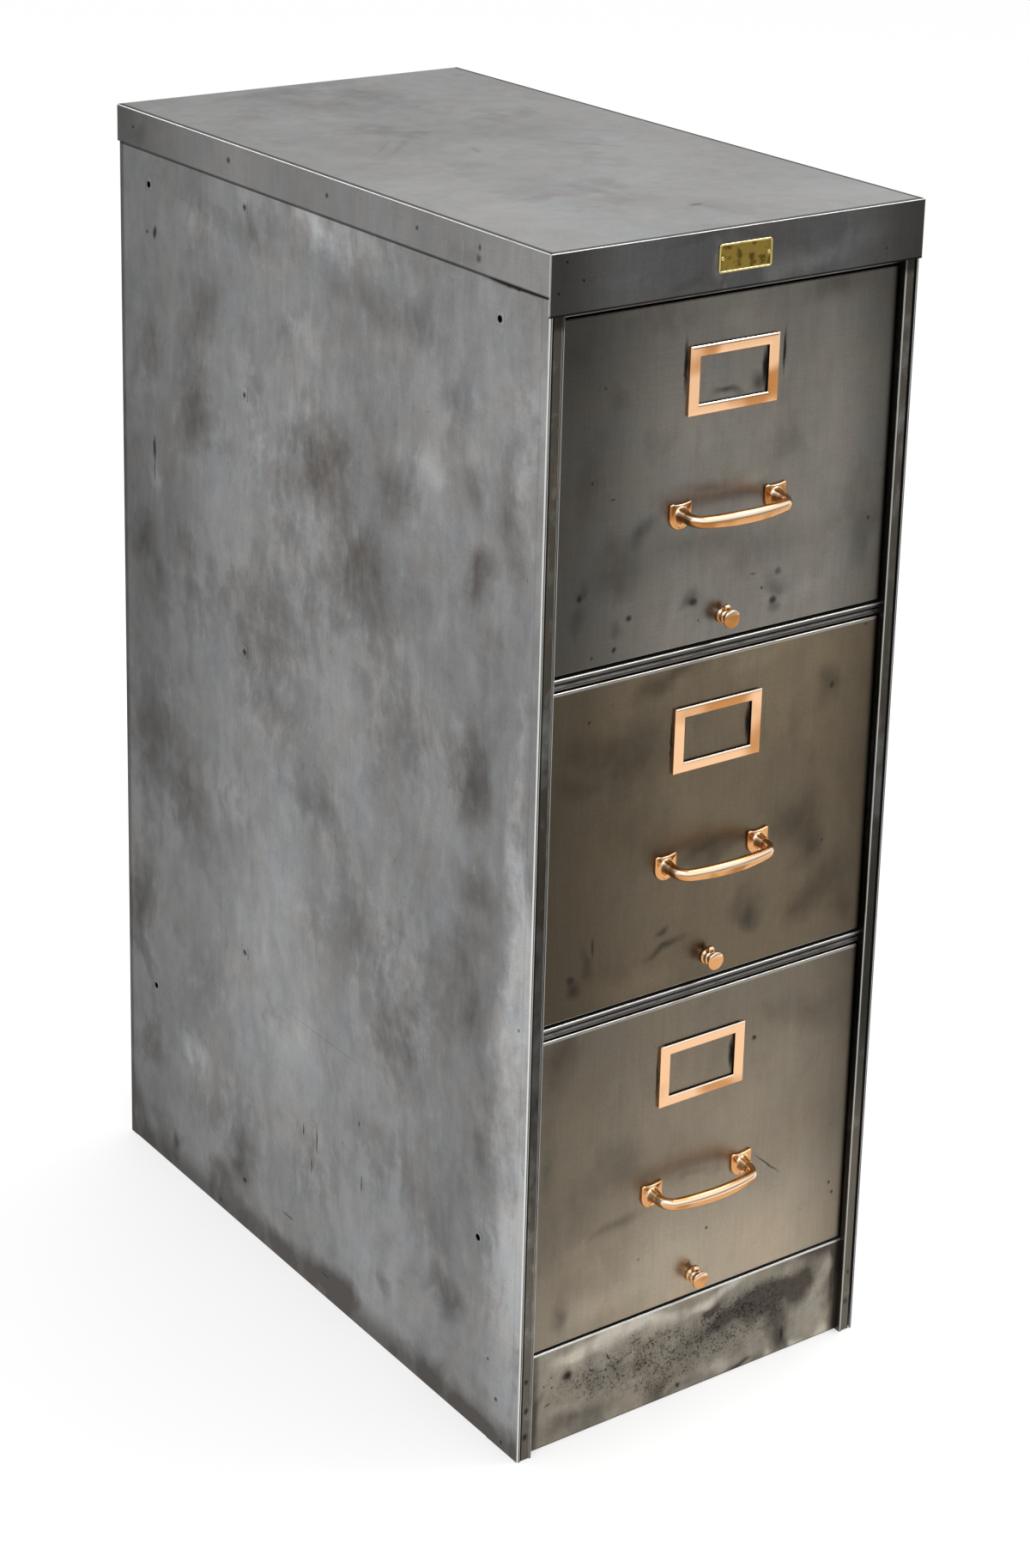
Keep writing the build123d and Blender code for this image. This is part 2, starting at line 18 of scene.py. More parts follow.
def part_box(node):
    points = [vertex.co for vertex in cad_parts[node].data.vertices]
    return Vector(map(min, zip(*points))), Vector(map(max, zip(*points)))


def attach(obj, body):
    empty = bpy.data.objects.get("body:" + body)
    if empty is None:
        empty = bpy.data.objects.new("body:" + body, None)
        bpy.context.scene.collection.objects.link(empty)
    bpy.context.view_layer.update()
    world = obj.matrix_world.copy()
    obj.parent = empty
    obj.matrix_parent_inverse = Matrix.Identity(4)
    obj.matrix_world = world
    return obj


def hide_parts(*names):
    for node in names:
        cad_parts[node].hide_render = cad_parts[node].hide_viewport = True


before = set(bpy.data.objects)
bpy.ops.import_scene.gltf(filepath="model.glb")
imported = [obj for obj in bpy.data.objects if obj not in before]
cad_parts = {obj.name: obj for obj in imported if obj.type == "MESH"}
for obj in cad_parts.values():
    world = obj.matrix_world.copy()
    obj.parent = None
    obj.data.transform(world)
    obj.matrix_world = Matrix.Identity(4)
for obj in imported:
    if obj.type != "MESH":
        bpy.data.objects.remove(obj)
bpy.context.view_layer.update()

log = logging.getLogger("cabinet")

Array = np.ndarray
Point = tuple[float, float, float]
Tone = tuple[int, int, int]

MM = 0.001
SEW = 2e-6  # points nearer than this are sewn together
SUPPORT = 0.5 * MM  # from a fold to the line that keeps the face beside it flat
SHARP = radians(32)  # edges that turn more than this stay sharp
ARC_STEP = radians(15)  # turn from one point of a bend to the next
QUARTER = np.radians(np.linspace(0, 90, 7))  # the turns of a quarter bend
LEG_SHARE = 0.45  # most of a straight run that one bend may use up
SUPPORT_SHARE = 0.04  # most of a straight run between a bend and its support line
FACING = (0.85, 0.99)  # part of the normal along an axis where a facing band starts and is full
FLAT = 1000.0  # half size of a mark along the axis that it faces, far more than the cabinet's
DRAWERS = ("lower", "middle", "upper")
CASE = "case"


def linear(tone: Tone) -> tuple[float, float, float, float]:
    """Turn a screen colour of 0 to 255 into the linear colour that a shader takes.

    Args:
        tone: red, green and blue as a screen shows them.

    Returns:
        The linear colour, with a full alpha.
    """
    share = np.array(tone) / 255
    light = np.where(share > 0.04045, ((share + 0.055) / 1.055) ** 2.4, share / 12.92)
    return (*(float(value) for value in light), 1.0)


# Surfaces


class Skin:
    """A surface gathered from grids of points, which are sewn where they meet."""

    def __init__(self) -> None:
        """Start with no points."""
        self.points: list[Array] = []
        self.faces: list[Array] = []
        self.size = 0

    def grid(self, points: Array, wrap: bool = False, keep: Array | None = None) -> None:
        """Add a grid of points as four-sided faces.

        Args:
            points: the grid, of shape (rows, columns, 3).
            wrap: whether the last column joins the first.
            keep: one flag for each face, of shape (rows - 1, columns - 1), or None for all.
        """
        rows, columns = points.shape[:2]
        index = self.size + np.arange(rows * columns).reshape(rows, columns)
        if wrap:
            index = np.hstack([index, index[:, :1]])
        corners = [index[:-1, :-1], index[1:, :-1], index[1:, 1:], index[:-1, 1:]]
        faces = np.stack(corners, axis=-1).reshape(-1, 4)
        if keep is not None:
            faces = faces[keep.reshape(-1)]
        self.points.append(points.reshape(-1, 3))
        self.faces.append(faces)
        self.size += rows * columns

    def add(self, other: "Skin") -> None:
        """Take in another surface.

        Args:
            other: the surface, which stays as it is.
        """
        self.faces += [faces + self.size for faces in other.faces]
        self.points += other.points
        self.size += other.size

    def moved(self, place: Callable[[Array], Array]) -> "Skin":
        """The same surface with its points put through a function.

        Args:
            place: takes points of shape (count, 3) and gives as many back.

        Returns:
            The new surface.
        """
        other = Skin()
        other.points = [place(points) for points in self.points]
        other.faces = list(self.faces)
        other.size = self.size
        return other


def make_mesh(name: str, skin: Skin, sheet: float = 0.0, outward: Point | None = None) -> bpy.types.Mesh:
    """Sew a skin into a mesh whose faces point outwards.

    Doubled points are merged first and the normals are worked out after that. An open skin then gets
    its wall: each point is doubled inwards along its normal, and the rims are closed.

    Args:
        name: the mesh's name.
        skin: the surface.
        sheet: the wall's thickness, or 0 for a closed skin.
        outward: a direction that an open skin faces on the whole.

    Returns:
        The finished mesh, smooth but for its sharp edges.
    """
    mesh = bpy.data.meshes.new(name)
    mesh.from_pydata(np.vstack(skin.points).tolist(), [], np.vstack(skin.faces).tolist())
    work = bmesh.new()
    work.from_mesh(mesh)
    bmesh.ops.remove_doubles(work, verts=work.verts, dist=SEW)
    bmesh.ops.dissolve_degenerate(work, edges=work.edges, dist=SEW)
    loose = [vert for vert in work.verts if not vert.link_faces]
    bmesh.ops.delete(work, geom=loose, context="VERTS")
    bmesh.ops.recalc_face_normals(work, faces=work.faces)
    if outward is not None:
        total = sum((face.normal * face.calc_area() for face in work.faces), Vector())
        if total.dot(Vector(outward)) < 0:
            bmesh.ops.reverse_faces(work, faces=work.faces)
    if sheet:
        work.normal_update()
        bmesh.ops.solidify(work, geom=work.faces[:], thickness=sheet)
        bmesh.ops.recalc_face_normals(work, faces=work.faces)
    work.to_mesh(mesh)
    work.free()
    mesh.shade_smooth()
    mesh.set_sharp_from_angle(angle=SHARP)
    return mesh


def make_piece(name: str, skin: Skin, finish: bpy.types.Material, body: str, nodes: Sequence[str],
               sheet: float = 0.0, outward: Point | None = None) -> None:
    """Put a skin into the scene as a piece that stands for nodes of the frame.

    Args:
        name: the piece's name.
        skin: its surface, already in place.
        finish: its material.
        body: the body that it rides on.
        nodes: the nodes that it stands for.
        sheet: the wall's thickness, or 0 for a closed skin.
        outward: a direction that an open skin faces on the whole.
    """
    mesh = make_mesh(name, skin, sheet, outward)
    mesh.materials.append(finish)
    piece = bpy.data.objects.new(name, mesh)
    bpy.context.scene.collection.objects.link(piece)
    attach(piece, body)
    if nodes:
        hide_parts(*nodes)
    log.info("%s: %d faces on %s", name, len(mesh.polygons), body)


def lines(low: float, high: float, step: float, *extra: Sequence[float]) -> Array:
    """Stations from low to high, about a step apart, with some extra ones among them.

    Args:
        low: first station.
        high: last station.
        step: the widest gap between two.
        extra: more stations, in groups.

    Returns:
        The stations in order, without doubles.
    """
    count = max(1, int(np.ceil((high - low) / step)))
    every = np.concatenate([np.linspace(low, high, count + 1), *[np.asarray(group) for group in extra]])
    every = np.sort(every[(every > low - SEW) & (every < high + SEW)])
    apart = np.concatenate([[True], np.diff(every) > SEW])
    return every[apart]


def bent_line(corners: Sequence[tuple[float, float]], radius: float, step: float = 1.0) -> Array:
    """A line of straight runs with round bends, as the section of a folded sheet.

    Each inner corner gives way to an arc of the radius, which starts and ends at radius * tan(turn / 2)
    from it.

    Args:
        corners: the line's corners in two axes.
        radius: radius of the bends on the skin's side.
        step: longest piece of a straight run.

    Returns:
        The points along the line, of shape (count, 2).
    """
    spots = np.asarray(corners, float)
    runs = [spots[:1]]
    for before, corner, after in zip(spots[:-2], spots[1:-1], spots[2:]):
        into = (corner - before) / np.linalg.norm(corner - before)
        out = (after - corner) / np.linalg.norm(after - corner)
        turn = atan2(into[0] * out[1] - into[1] * out[0], float(into @ out))
        legs = [np.linalg.norm(leg) for leg in (corner - before, after - corner)]
        reach = min(radius * tan(abs(turn) / 2), *(LEG_SHARE * leg for leg in legs))
        bend = reach / tan(abs(turn) / 2)
        side = np.array([-into[1], into[0]]) * np.sign(turn)
        centre = corner - into * reach + side * bend
        angle = np.linspace(0, abs(turn), max(3, int(abs(turn) / ARC_STEP) + 1))[:, None]
        near = [min(SUPPORT, SUPPORT_SHARE * leg) for leg in legs]
        runs.append([corner - into * (reach + near[0])])
        runs.append(centre + bend * (into * np.sin(angle) - side * np.cos(angle)))
        runs.append([corner + out * (reach + near[1])])
    runs.append(spots[-1:])
    points = np.vstack(runs)
    pieces = [points[:1]]
    for start, end in zip(points[:-1], points[1:]):
        count = max(1, int(np.ceil(np.linalg.norm(end - start) / step)))
        pieces.append(start + (end - start) * (np.arange(1, count + 1) / count)[:, None])
    return np.vstack(pieces)


@dataclass(frozen=True)
class Waviness:
    """Slow hollows of a thin sheet: an even sum of long waves, which dies away at the sheet's edges.

    Attributes:
        depth: about the deepest that a hollow gets.
        length: the shortest wave.
        seed: start of the random directions, phases and lengths.
        count: how many waves there are.
    """

    depth: float
    length: float
    seed: int
    count: int = 7

    def at(self, across: Array, up: Array) -> Array:
        """Depth at each point.

        It is (1 + sum of cosines / 4) / 2 times the depth, times 1 - t^6 for both axes, where t runs from
        -1 to 1 across the sheet.

        Args:
            across: first coordinate of the points.
            up: second coordinate of the points.

        Returns:
            The depths, which the sheet's edges bring down to 0.
        """
        draw = np.random.default_rng(self.seed)
        waves = zip(*(draw.uniform(low, high, self.count) for low, high in ((0, pi), (0, 2 * pi), (1, 3))))
        total = np.zeros(np.broadcast(across, up).shape)
        for angle, phase, stretch in waves:
            rate = 2 * pi / (self.length * stretch)
            total = total + np.cos(rate * (across * cos(angle) + up * sin(angle)) + phase)
        fade = 1.0
        for values in (across, up):
            middle, half = (values.max() + values.min()) / 2, (values.max() - values.min()) / 2
            fade = fade * (1 - ((values - middle) / half) ** 6)
        return self.depth * fade * (1 + total / 4) / 2


@dataclass(frozen=True)
class Pan:
    """A sheet with its four edges folded back over a small radius, in its own axes p, q and depth.

    Attributes:
        low: lowest p and q.
        high: highest p and q.
        radius: radius of the folds and of the upright corners.
        depth: depth of the folded sides.
        step: widest gap between lines on the face.
        waves: hollows of the face.
        wall_step: widest gap between lines on the sides.
    """

    low: tuple[float, float]
    high: tuple[float, float]
    radius: float
    depth: float
    step: float
    waves: Waviness
    wall_step: float = 12 * MM

    def contour(self) -> tuple[Array, Array, int]:
        """The way round the flat face: its points, the directions out of it, and the first side's share.

        Returns:
            Points of shape (count, 2), directions of shape (count, 2) and how many lie on the side
            of lowest q with its two corners.
        """
        p, q = self.stations()
        turn = QUARTER[:, None]
        spots, ways = [], []
        sides = [
            (np.column_stack([p, np.full(len(p), q[0])]), (0, -1), (1, 0)),
            (np.column_stack([np.full(len(q), p[-1]), q]), (1, 0), (0, 1)),
            (np.column_stack([p[::-1], np.full(len(p), q[-1])]), (0, 1), (-1, 0)),
            (np.column_stack([np.full(len(q), p[0]), q[::-1]]), (-1, 0), (0, -1)),
        ]
        for side, way, following in sides:
            spots += [side, np.repeat(side[-1:], len(turn), axis=0)]
            ways += [np.repeat([way], len(side), axis=0), np.cos(turn) * way + np.sin(turn) * following]
        return np.vstack(spots), np.vstack(ways).astype(float), len(p) + len(turn)

    def stations(self) -> tuple[Array, Array]:
        """Lines of the flat face.

        Returns:
            The places of the lines in p and in q.
        """
        inset = self.radius + SUPPORT
        p, q = (lines(low + self.radius, high - self.radius, self.step, [low + inset, high - inset])
                for low, high in zip(self.low, self.high))
        return p, q

    def skin(self, extra: float = 0.0) -> Skin:
        """The pan's outer skin.

        The face is a flat grid with its hollows. The sides follow its contour outwards: over the fold
        by radius * sin(angle) out and radius * (1 - cos(angle)) deep, then straight back.

        Args:
            extra: how much deeper the side of lowest q is than the others.

        Returns:
            The sewn grids, in p, q and depth.
        """
        skin = Skin()
        p, q = self.stations()
        across, up = np.meshgrid(p, q, indexing="ij")
        skin.grid(np.stack([across, up, self.waves.at(across, up)], axis=-1))
        spots, ways, first = self.contour()
        wall = lines(self.radius, self.depth, self.wall_step, [self.radius + SUPPORT])[1:]
        out = np.concatenate([self.radius * np.sin(QUARTER), np.full(len(wall), self.radius)])
        deep = np.concatenate([self.radius * (1 - np.cos(QUARTER)), wall])
        skin.grid(self.sides(spots, ways, out, deep), wrap=True)
        if extra:
            chosen = np.concatenate([np.arange(len(spots) - len(QUARTER), len(spots)), np.arange(first)])
            more = np.array([self.depth, self.depth + extra])
            skin.grid(self.sides(spots[chosen], ways[chosen], np.full(2, self.radius), more))
        return skin

    @staticmethod
    def sides(spots: Array, ways: Array, out: Array, deep: Array) -> Array:
        """A grid that follows the contour: spot + way * out, with the depth as its third coordinate.

        Args:
            spots: points of the contour.
            ways: directions out of it at these points.
            out: distance of each row from the contour.
            deep: depth of each row.

        Returns:
            The grid, of shape (rows, points, 3).
        """
        flat = spots[None] + ways[None] * out[:, None, None]
        depth = np.broadcast_to(deep[:, None, None], (*flat.shape[:2], 1))
        return np.concatenate([flat, depth], axis=-1)


def level(ring: Array, height: float) -> Array:
    """A flat ring of points raised to a height."""
    return np.column_stack([ring, np.full(len(ring), height)])


def pole(ring: Array) -> Array:
    """The middle of a ring of shape (1, count, 3), once for each of its points, to close a tube with."""
    return np.repeat(ring.mean(axis=1, keepdims=True), ring.shape[1], axis=1)


def drawn(section: Array, stations: Array, axis: int) -> Array:
    """A section drawn along an axis, as a grid.

    Args:
        section: its points in the other two axes, of shape (rows, 2).
        stations: places along the axis.
        axis: 0 for X, 1 for Y, 2 for Z.

    Returns:
        The grid, of shape (rows, stations, 3).
    """
    grid = np.empty((len(section), len(stations), 3))
    grid[..., axis] = stations
    grid[..., [other for other in range(3) if other != axis]] = section[:, None]
    return grid


def revolved(line: Array, steps: int = 48) -> Array:
    """A line of radius and height carried round the third axis by (r * cos, r * sin), as a grid.

    Args:
        line: radius and height of its points, of shape (rows, 2).
        steps: points round the circle.

    Returns:
        The grid, of shape (rows, steps, 3).
    """
    angle = np.linspace(0, 2 * pi, steps, endpoint=False)
    height = np.broadcast_to(line[:, 1:], (len(line), steps))
    return np.stack([line[:, :1] * np.cos(angle), line[:, :1] * np.sin(angle), height], axis=-1)


def turned(profile: Sequence[tuple[float, float]], round_by: float, steps: int = 48) -> Skin:
    """A turned solid about the third axis.

    Args:
        profile: radius and height from one pole or rim to the other.
        round_by: radius of the profile's corners.
        steps: points round the circle.

    Returns:
        The skin.
    """
    skin = Skin()
    skin.grid(revolved(bent_line(profile, round_by), steps), wrap=True)
    return skin


def rounded_rectangle(half_x: float, half_z: float, radius: float, steps: int) -> Array:
    """The way round a rectangle with round corners, counter-clockwise.

    Args:
        half_x: half its width.
        half_z: half its height.
        radius: radius of its corners.
        steps: points to each corner.

    Returns:
        Points of shape (4 * steps, 2).
    """
    angle = np.radians(np.arange(4)[:, None] * 90 + np.linspace(0, 90, steps)[None])
    centre_x = (half_x - radius) * np.array([1, -1, -1, 1])[:, None]
    centre_z = (half_z - radius) * np.array([1, 1, -1, -1])[:, None]
    return np.stack([centre_x + radius * np.cos(angle), centre_z + radius * np.sin(angle)], -1).reshape(-1, 2)


def block(low: Point, high: Point) -> Array:
    """A closed block between two corners, as rings from its underside's middle to its top's.

    Args:
        low: its lowest corner.
        high: its highest corner.

    Returns:
        The grid, of shape (4, 4, 3).
    """
    (x0, y0, z0), (x1, y1, z1) = low, high
    ring = np.array([(x0, y0), (x1, y0), (x1, y1), (x0, y1)])
    centre = np.repeat([ring.mean(axis=0)], len(ring), axis=0)
    return np.stack([level(centre, z0), level(ring, z0), level(ring, z1), level(centre, z1)])


def facing_front(x: float, y: float, z: float) -> Callable[[Array], Array]:
    """A placer that stands a turned solid on a face that looks to the front, at a point of it."""
    return lambda points: np.stack([x + points[:, 0], y - points[:, 2], z + points[:, 1]], axis=-1)


# Materials


class Wire:
    """A value on its way through a material's nodes, on which sums and products add Math nodes."""

    def __init__(self, shop: "NodeShop", socket: bpy.types.NodeSocket) -> None:
        """Wrap an output socket."""
        self.shop = shop
        self.socket = socket

    def __add__(self, other: "Wire | float") -> "Wire":
        """Sum."""
        return self.shop.math("ADD", self, other)

    def __sub__(self, other: "Wire | float") -> "Wire":
        """Difference."""
        return self.shop.math("SUBTRACT", self, other)

    def __rsub__(self, other: float) -> "Wire":
        """Difference from a plain number."""
        return self.shop.math("SUBTRACT", other, self)

    def __mul__(self, other: "Wire | float") -> "Wire":
        """Product."""
        return self.shop.math("MULTIPLY", self, other)

    __radd__ = __add__
    __rmul__ = __mul__


class NodeShop:
    """Adds and joins the nodes of one material or world."""

    def __init__(self, tree: bpy.types.NodeTree) -> None:
        """Start with an empty tree."""
        self.tree = tree
        tree.nodes.clear()

    def node(
        self,
        kind: str,
        settings: dict[str, object] | None = None,
        inputs: dict[str | int, object] | None = None,
        output: str | int = 0,
    ) -> Wire:
        """Add a node, set it up and join its inputs.

        Args:
            kind: the node's type.
            settings: its properties, which are set first.
            inputs: a value or a wire for each socket, by name or number.
            output: the socket to hand on.

        Returns:
            The wire that leaves the node.
        """
        made = self.tree.nodes.new(kind)
        for name, value in (settings or {}).items():
            owner, _, last = name.rpartition(".")
            setattr(getattr(made, owner) if owner else made, last, value)
        for name, value in (inputs or {}).items():
            if isinstance(value, Wire):
                self.tree.links.new(value.socket, made.inputs[name])
            else:
                made.inputs[name].default_value = value
        return Wire(self, made.outputs[output]) if made.outputs else Wire(self, None)

    def math(self, operation: str, first: Wire | float, second: Wire | float = 0.0) -> Wire:
        """A Math node."""
        return self.node("ShaderNodeMath", {"operation": operation}, {0: first, 1: second})

    def vector(self, operation: str, inputs: dict[str | int, object], output: str = "Vector") -> Wire:
        """A Vector Math node."""
        return self.node("ShaderNodeVectorMath", {"operation": operation}, inputs, output)

    def ramp(self, value: Wire, start: float, end: float, low: float = 0.0, high: float = 1.0) -> Wire:
        """Smooth step from low at start to high at end."""
        numbers = {"Value": value, "From Min": start, "From Max": end, "To Min": low, "To Max": high}
        return self.node("ShaderNodeMapRange", {"interpolation_type": "SMOOTHSTEP"}, numbers)

    def mix(self, share: Wire | float, first: Wire | Tone, second: Wire | Tone) -> Wire:
        """Two colours mixed by a share of the second."""
        colours = [value if isinstance(value, Wire) else linear(value) for value in (first, second)]
        return self.node("ShaderNodeMix", {"data_type": "RGBA"}, {0: share, 6: colours[0], 7: colours[1]}, 2)

    def noise(self, place: Wire, scale: float, detail: float = 4.0, rough: float = 0.55) -> Wire:
        """Noise of about a scale of lumps to the metre."""
        return self.node("ShaderNodeTexNoise", {}, {"Vector": place, "Scale": scale, "Detail": detail,
                                                    "Roughness": rough})

    def stretched(self, place: Wire, scale: Point, turn: Point = (0, 0, 0)) -> Wire:
        """Coordinates turned and then scaled."""
        return self.node("ShaderNodeMapping", {"vector_type": "POINT"},
                         {"Vector": place, "Rotation": turn, "Scale": scale})

    def shifted(self, place: Wire, scale: float, reach: float) -> Wire:
        """Coordinates pushed about by noise, so that outlines wander.

        Args:
            place: the coordinates.
            scale: lumps of the noise to the metre.
            reach: twice the furthest push each way.

        Returns:
            place + (noise - 0.5) * reach.
        """
        push = self.node("ShaderNodeTexNoise", {}, {"Vector": place, "Scale": scale, "Detail": 3.0}, "Color")
        centred = self.vector("SUBTRACT", {0: push, 1: (0.5, 0.5, 0.5)})
        return self.vector("MULTIPLY_ADD", {0: centred, 1: (reach, reach, reach), 2: place})


class Face(Enum):
    """The side of the cabinet that a finish is for, as the axis that its marks don't use."""

    SIDE = 0
    FRONT = 1
    TOP = 2


class Kind(Enum):
    """What a mark on the steel is: a stain, a burnished patch, a dark spot or bright bare metal. Stains and
    spots also paint shade and shadow, and bright marks also paint highlights.
    """

    STAIN = "stain"
    RUBBED = "rubbed"
    SPOT = "spot"
    BRIGHT = "bright"


@dataclass(frozen=True)
class Mark:
    """One soft-edged oval mark on a face of the cabinet, in millimetres from the frame's origin.

    Attributes:
        kind: what it is.
        across: its middle along the face: Y on a side, X on the front and on the top.
        up: its middle up the face: Z, or Y on the top.
        wide: half its width.
        tall: half its height.
        strength: how full it is.
        turn: its slant in degrees, from the first axis towards the second.
        face: the face that it is on, or None for the finish's own.
    """

    kind: Kind
    across: float
    up: float
    wide: float
    tall: float
    strength: float = 1.0
    turn: float = 0.0
    face: Face | None = None


@dataclass(frozen=True)
class Band:
    """A straight strip of one kind between two places along an axis, in millimetres.

    Attributes:
        kind: what it is.
        axis: 0 for X, 1 for Y, 2 for Z.
        low: where it starts.
        high: where it ends.
        soft: how far it fades out at each side.
        strength: how full it is.
        mirrored: whether it is on both sides of the middle.
        facing: the axis that its surface faces, or None for any.
    """

    kind: Kind
    axis: int
    low: float
    high: float
    soft: float
    strength: float
    mirrored: bool = False
    facing: int | None = None


@dataclass(frozen=True)
class Shade:
    """Painted light and shade: a slow change of brightness along an axis, by a factor that goes smoothly from
    one value to another.

    Attributes:
        axis: 0 for X, 1 for Y, 2 for Z.
        start: where it starts, in millimetres.
        end: where it ends, in millimetres.
        first: the factor at its start and before.
        last: the factor at its end and after.
        mirrored: whether both sides of the middle are alike.
        facing: the axis that its surface faces, or None for any.
    """

    axis: int
    start: float
    end: float
    first: float
    last: float
    mirrored: bool = False
    facing: int | None = None


def marks(kind: Kind, *rows: Sequence[float], face: Face | None = None) -> tuple[Mark, ...]:
    """Marks of one kind, each from its middle, half sizes, and maybe its strength and slant."""
    return tuple(Mark(kind, *row, face=face) for row in rows)


@dataclass
class Spot:
    """Where a material is on the surface: its coordinates and directions as wires.

    Attributes:
        shop: maker of the nodes.
        place: object coordinates.
        axes: the three coordinates apart.
        mirrored: the three coordinates without their signs.
        facing: the three parts of the normal without their signs.
    """

    shop: NodeShop
    place: Wire
    axes: list[Wire]
    mirrored: list[Wire]
    facing: list[Wire]

    @classmethod
    def start(cls, shop: NodeShop) -> "Spot":
        """Add the coordinate nodes.

        Args:
            shop: maker of the nodes.

        Returns:
            The wires.
        """
        place = shop.node("ShaderNodeTexCoord", {}, {}, "Object")
        normal = shop.node("ShaderNodeTexCoord", {}, {}, "Normal")
        return cls(shop, place, cls.parts(shop, place), cls.parts(shop, shop.vector("ABSOLUTE", {0: place})),
                   cls.parts(shop, shop.vector("ABSOLUTE", {0: normal})))

    @staticmethod
    def parts(shop: NodeShop, wire: Wire) -> list[Wire]:
        """The three parts of a vector."""
        split = shop.node("ShaderNodeSeparateXYZ", {}, {0: wire})
        return [Wire(shop, split.socket.node.outputs[axis]) for axis in range(3)]

    def along(self, axis: int, mirrored: bool) -> Wire:
        """A coordinate, with or without its sign."""
        return (self.mirrored if mirrored else self.axes)[axis]

    def mark(self, place: Wire, own_face: Face, mark: Mark, core: float) -> Wire:
        """The mark's share at each point: a spherical gradient over its half sizes, smoothed.

        Args:
            place: object coordinates, which may be pushed about by noise.
            own_face: the face that the finish's marks are on.
            mark: the mark.
            core: share of its size where it is at its fullest.

        Returns:
            A wire from 0 outside to the mark's strength in its middle.
        """
        face = mark.face or own_face
        middle = [mark.across * MM, mark.up * MM]
        half = [mark.wide * MM, mark.tall * MM]
        middle.insert(face.value, 0.0)
        half.insert(face.value, FLAT)
        turn = [0.0, 0.0, 0.0]
        turn[face.value] = radians(-mark.turn if face is Face.FRONT else mark.turn)
        settings = {"gradient_type": "SPHERICAL", "texture_mapping.vector_type": "TEXTURE",
                    "texture_mapping.translation": middle, "texture_mapping.rotation": turn,
                    "texture_mapping.scale": half}
        near = self.shop.node("ShaderNodeTexGradient", settings, {"Vector": place}, "Fac")
        return self.shop.ramp(near, 0.0, 1.0 - core, 0.0, mark.strength)

    def band(self, band: Band) -> Wire:
        """The band's share at each point: smooth steps up at its start and down at its end.

        Args:
            band: the band.

        Returns:
            A wire from 0 outside to the band's strength inside.
        """
        wire = self.along(band.axis, band.mirrored)
        rise = self.shop.ramp(wire, (band.low - band.soft) * MM, band.low * MM)
        fall = self.shop.ramp(wire, (band.high + band.soft) * MM, band.high * MM, 0.0, band.strength)
        share = rise * fall
        return share if band.facing is None else share * self.shop.ramp(self.facing[band.facing], *FACING)

    def shade(self, shade: Shade) -> Wire:
        """The shade's factor at each point.

        Args:
            shade: the shade.

        Returns:
            A wire with the factor, which is 1 where the surface faces another way.
        """
        wire = self.along(shade.axis, shade.mirrored)
        factor = self.shop.ramp(wire, shade.start * MM, shade.end * MM, shade.first, shade.last)
        if shade.facing is None:
            return factor
        return (factor - 1.0) * self.shop.ramp(self.facing[shade.facing], *FACING) + 1.0

    def folds(self, strength: float) -> Wire:
        """Share of bright metal on folded edges, worn bare and painted as a highlight: where the normal leans
        away from every axis.
        """
        widest = self.shop.math("MAXIMUM", self.facing[0], self.shop.math("MAXIMUM", *self.facing[1:]))
        return self.shop.ramp(widest, 0.96, 0.82, 0.0, strength)


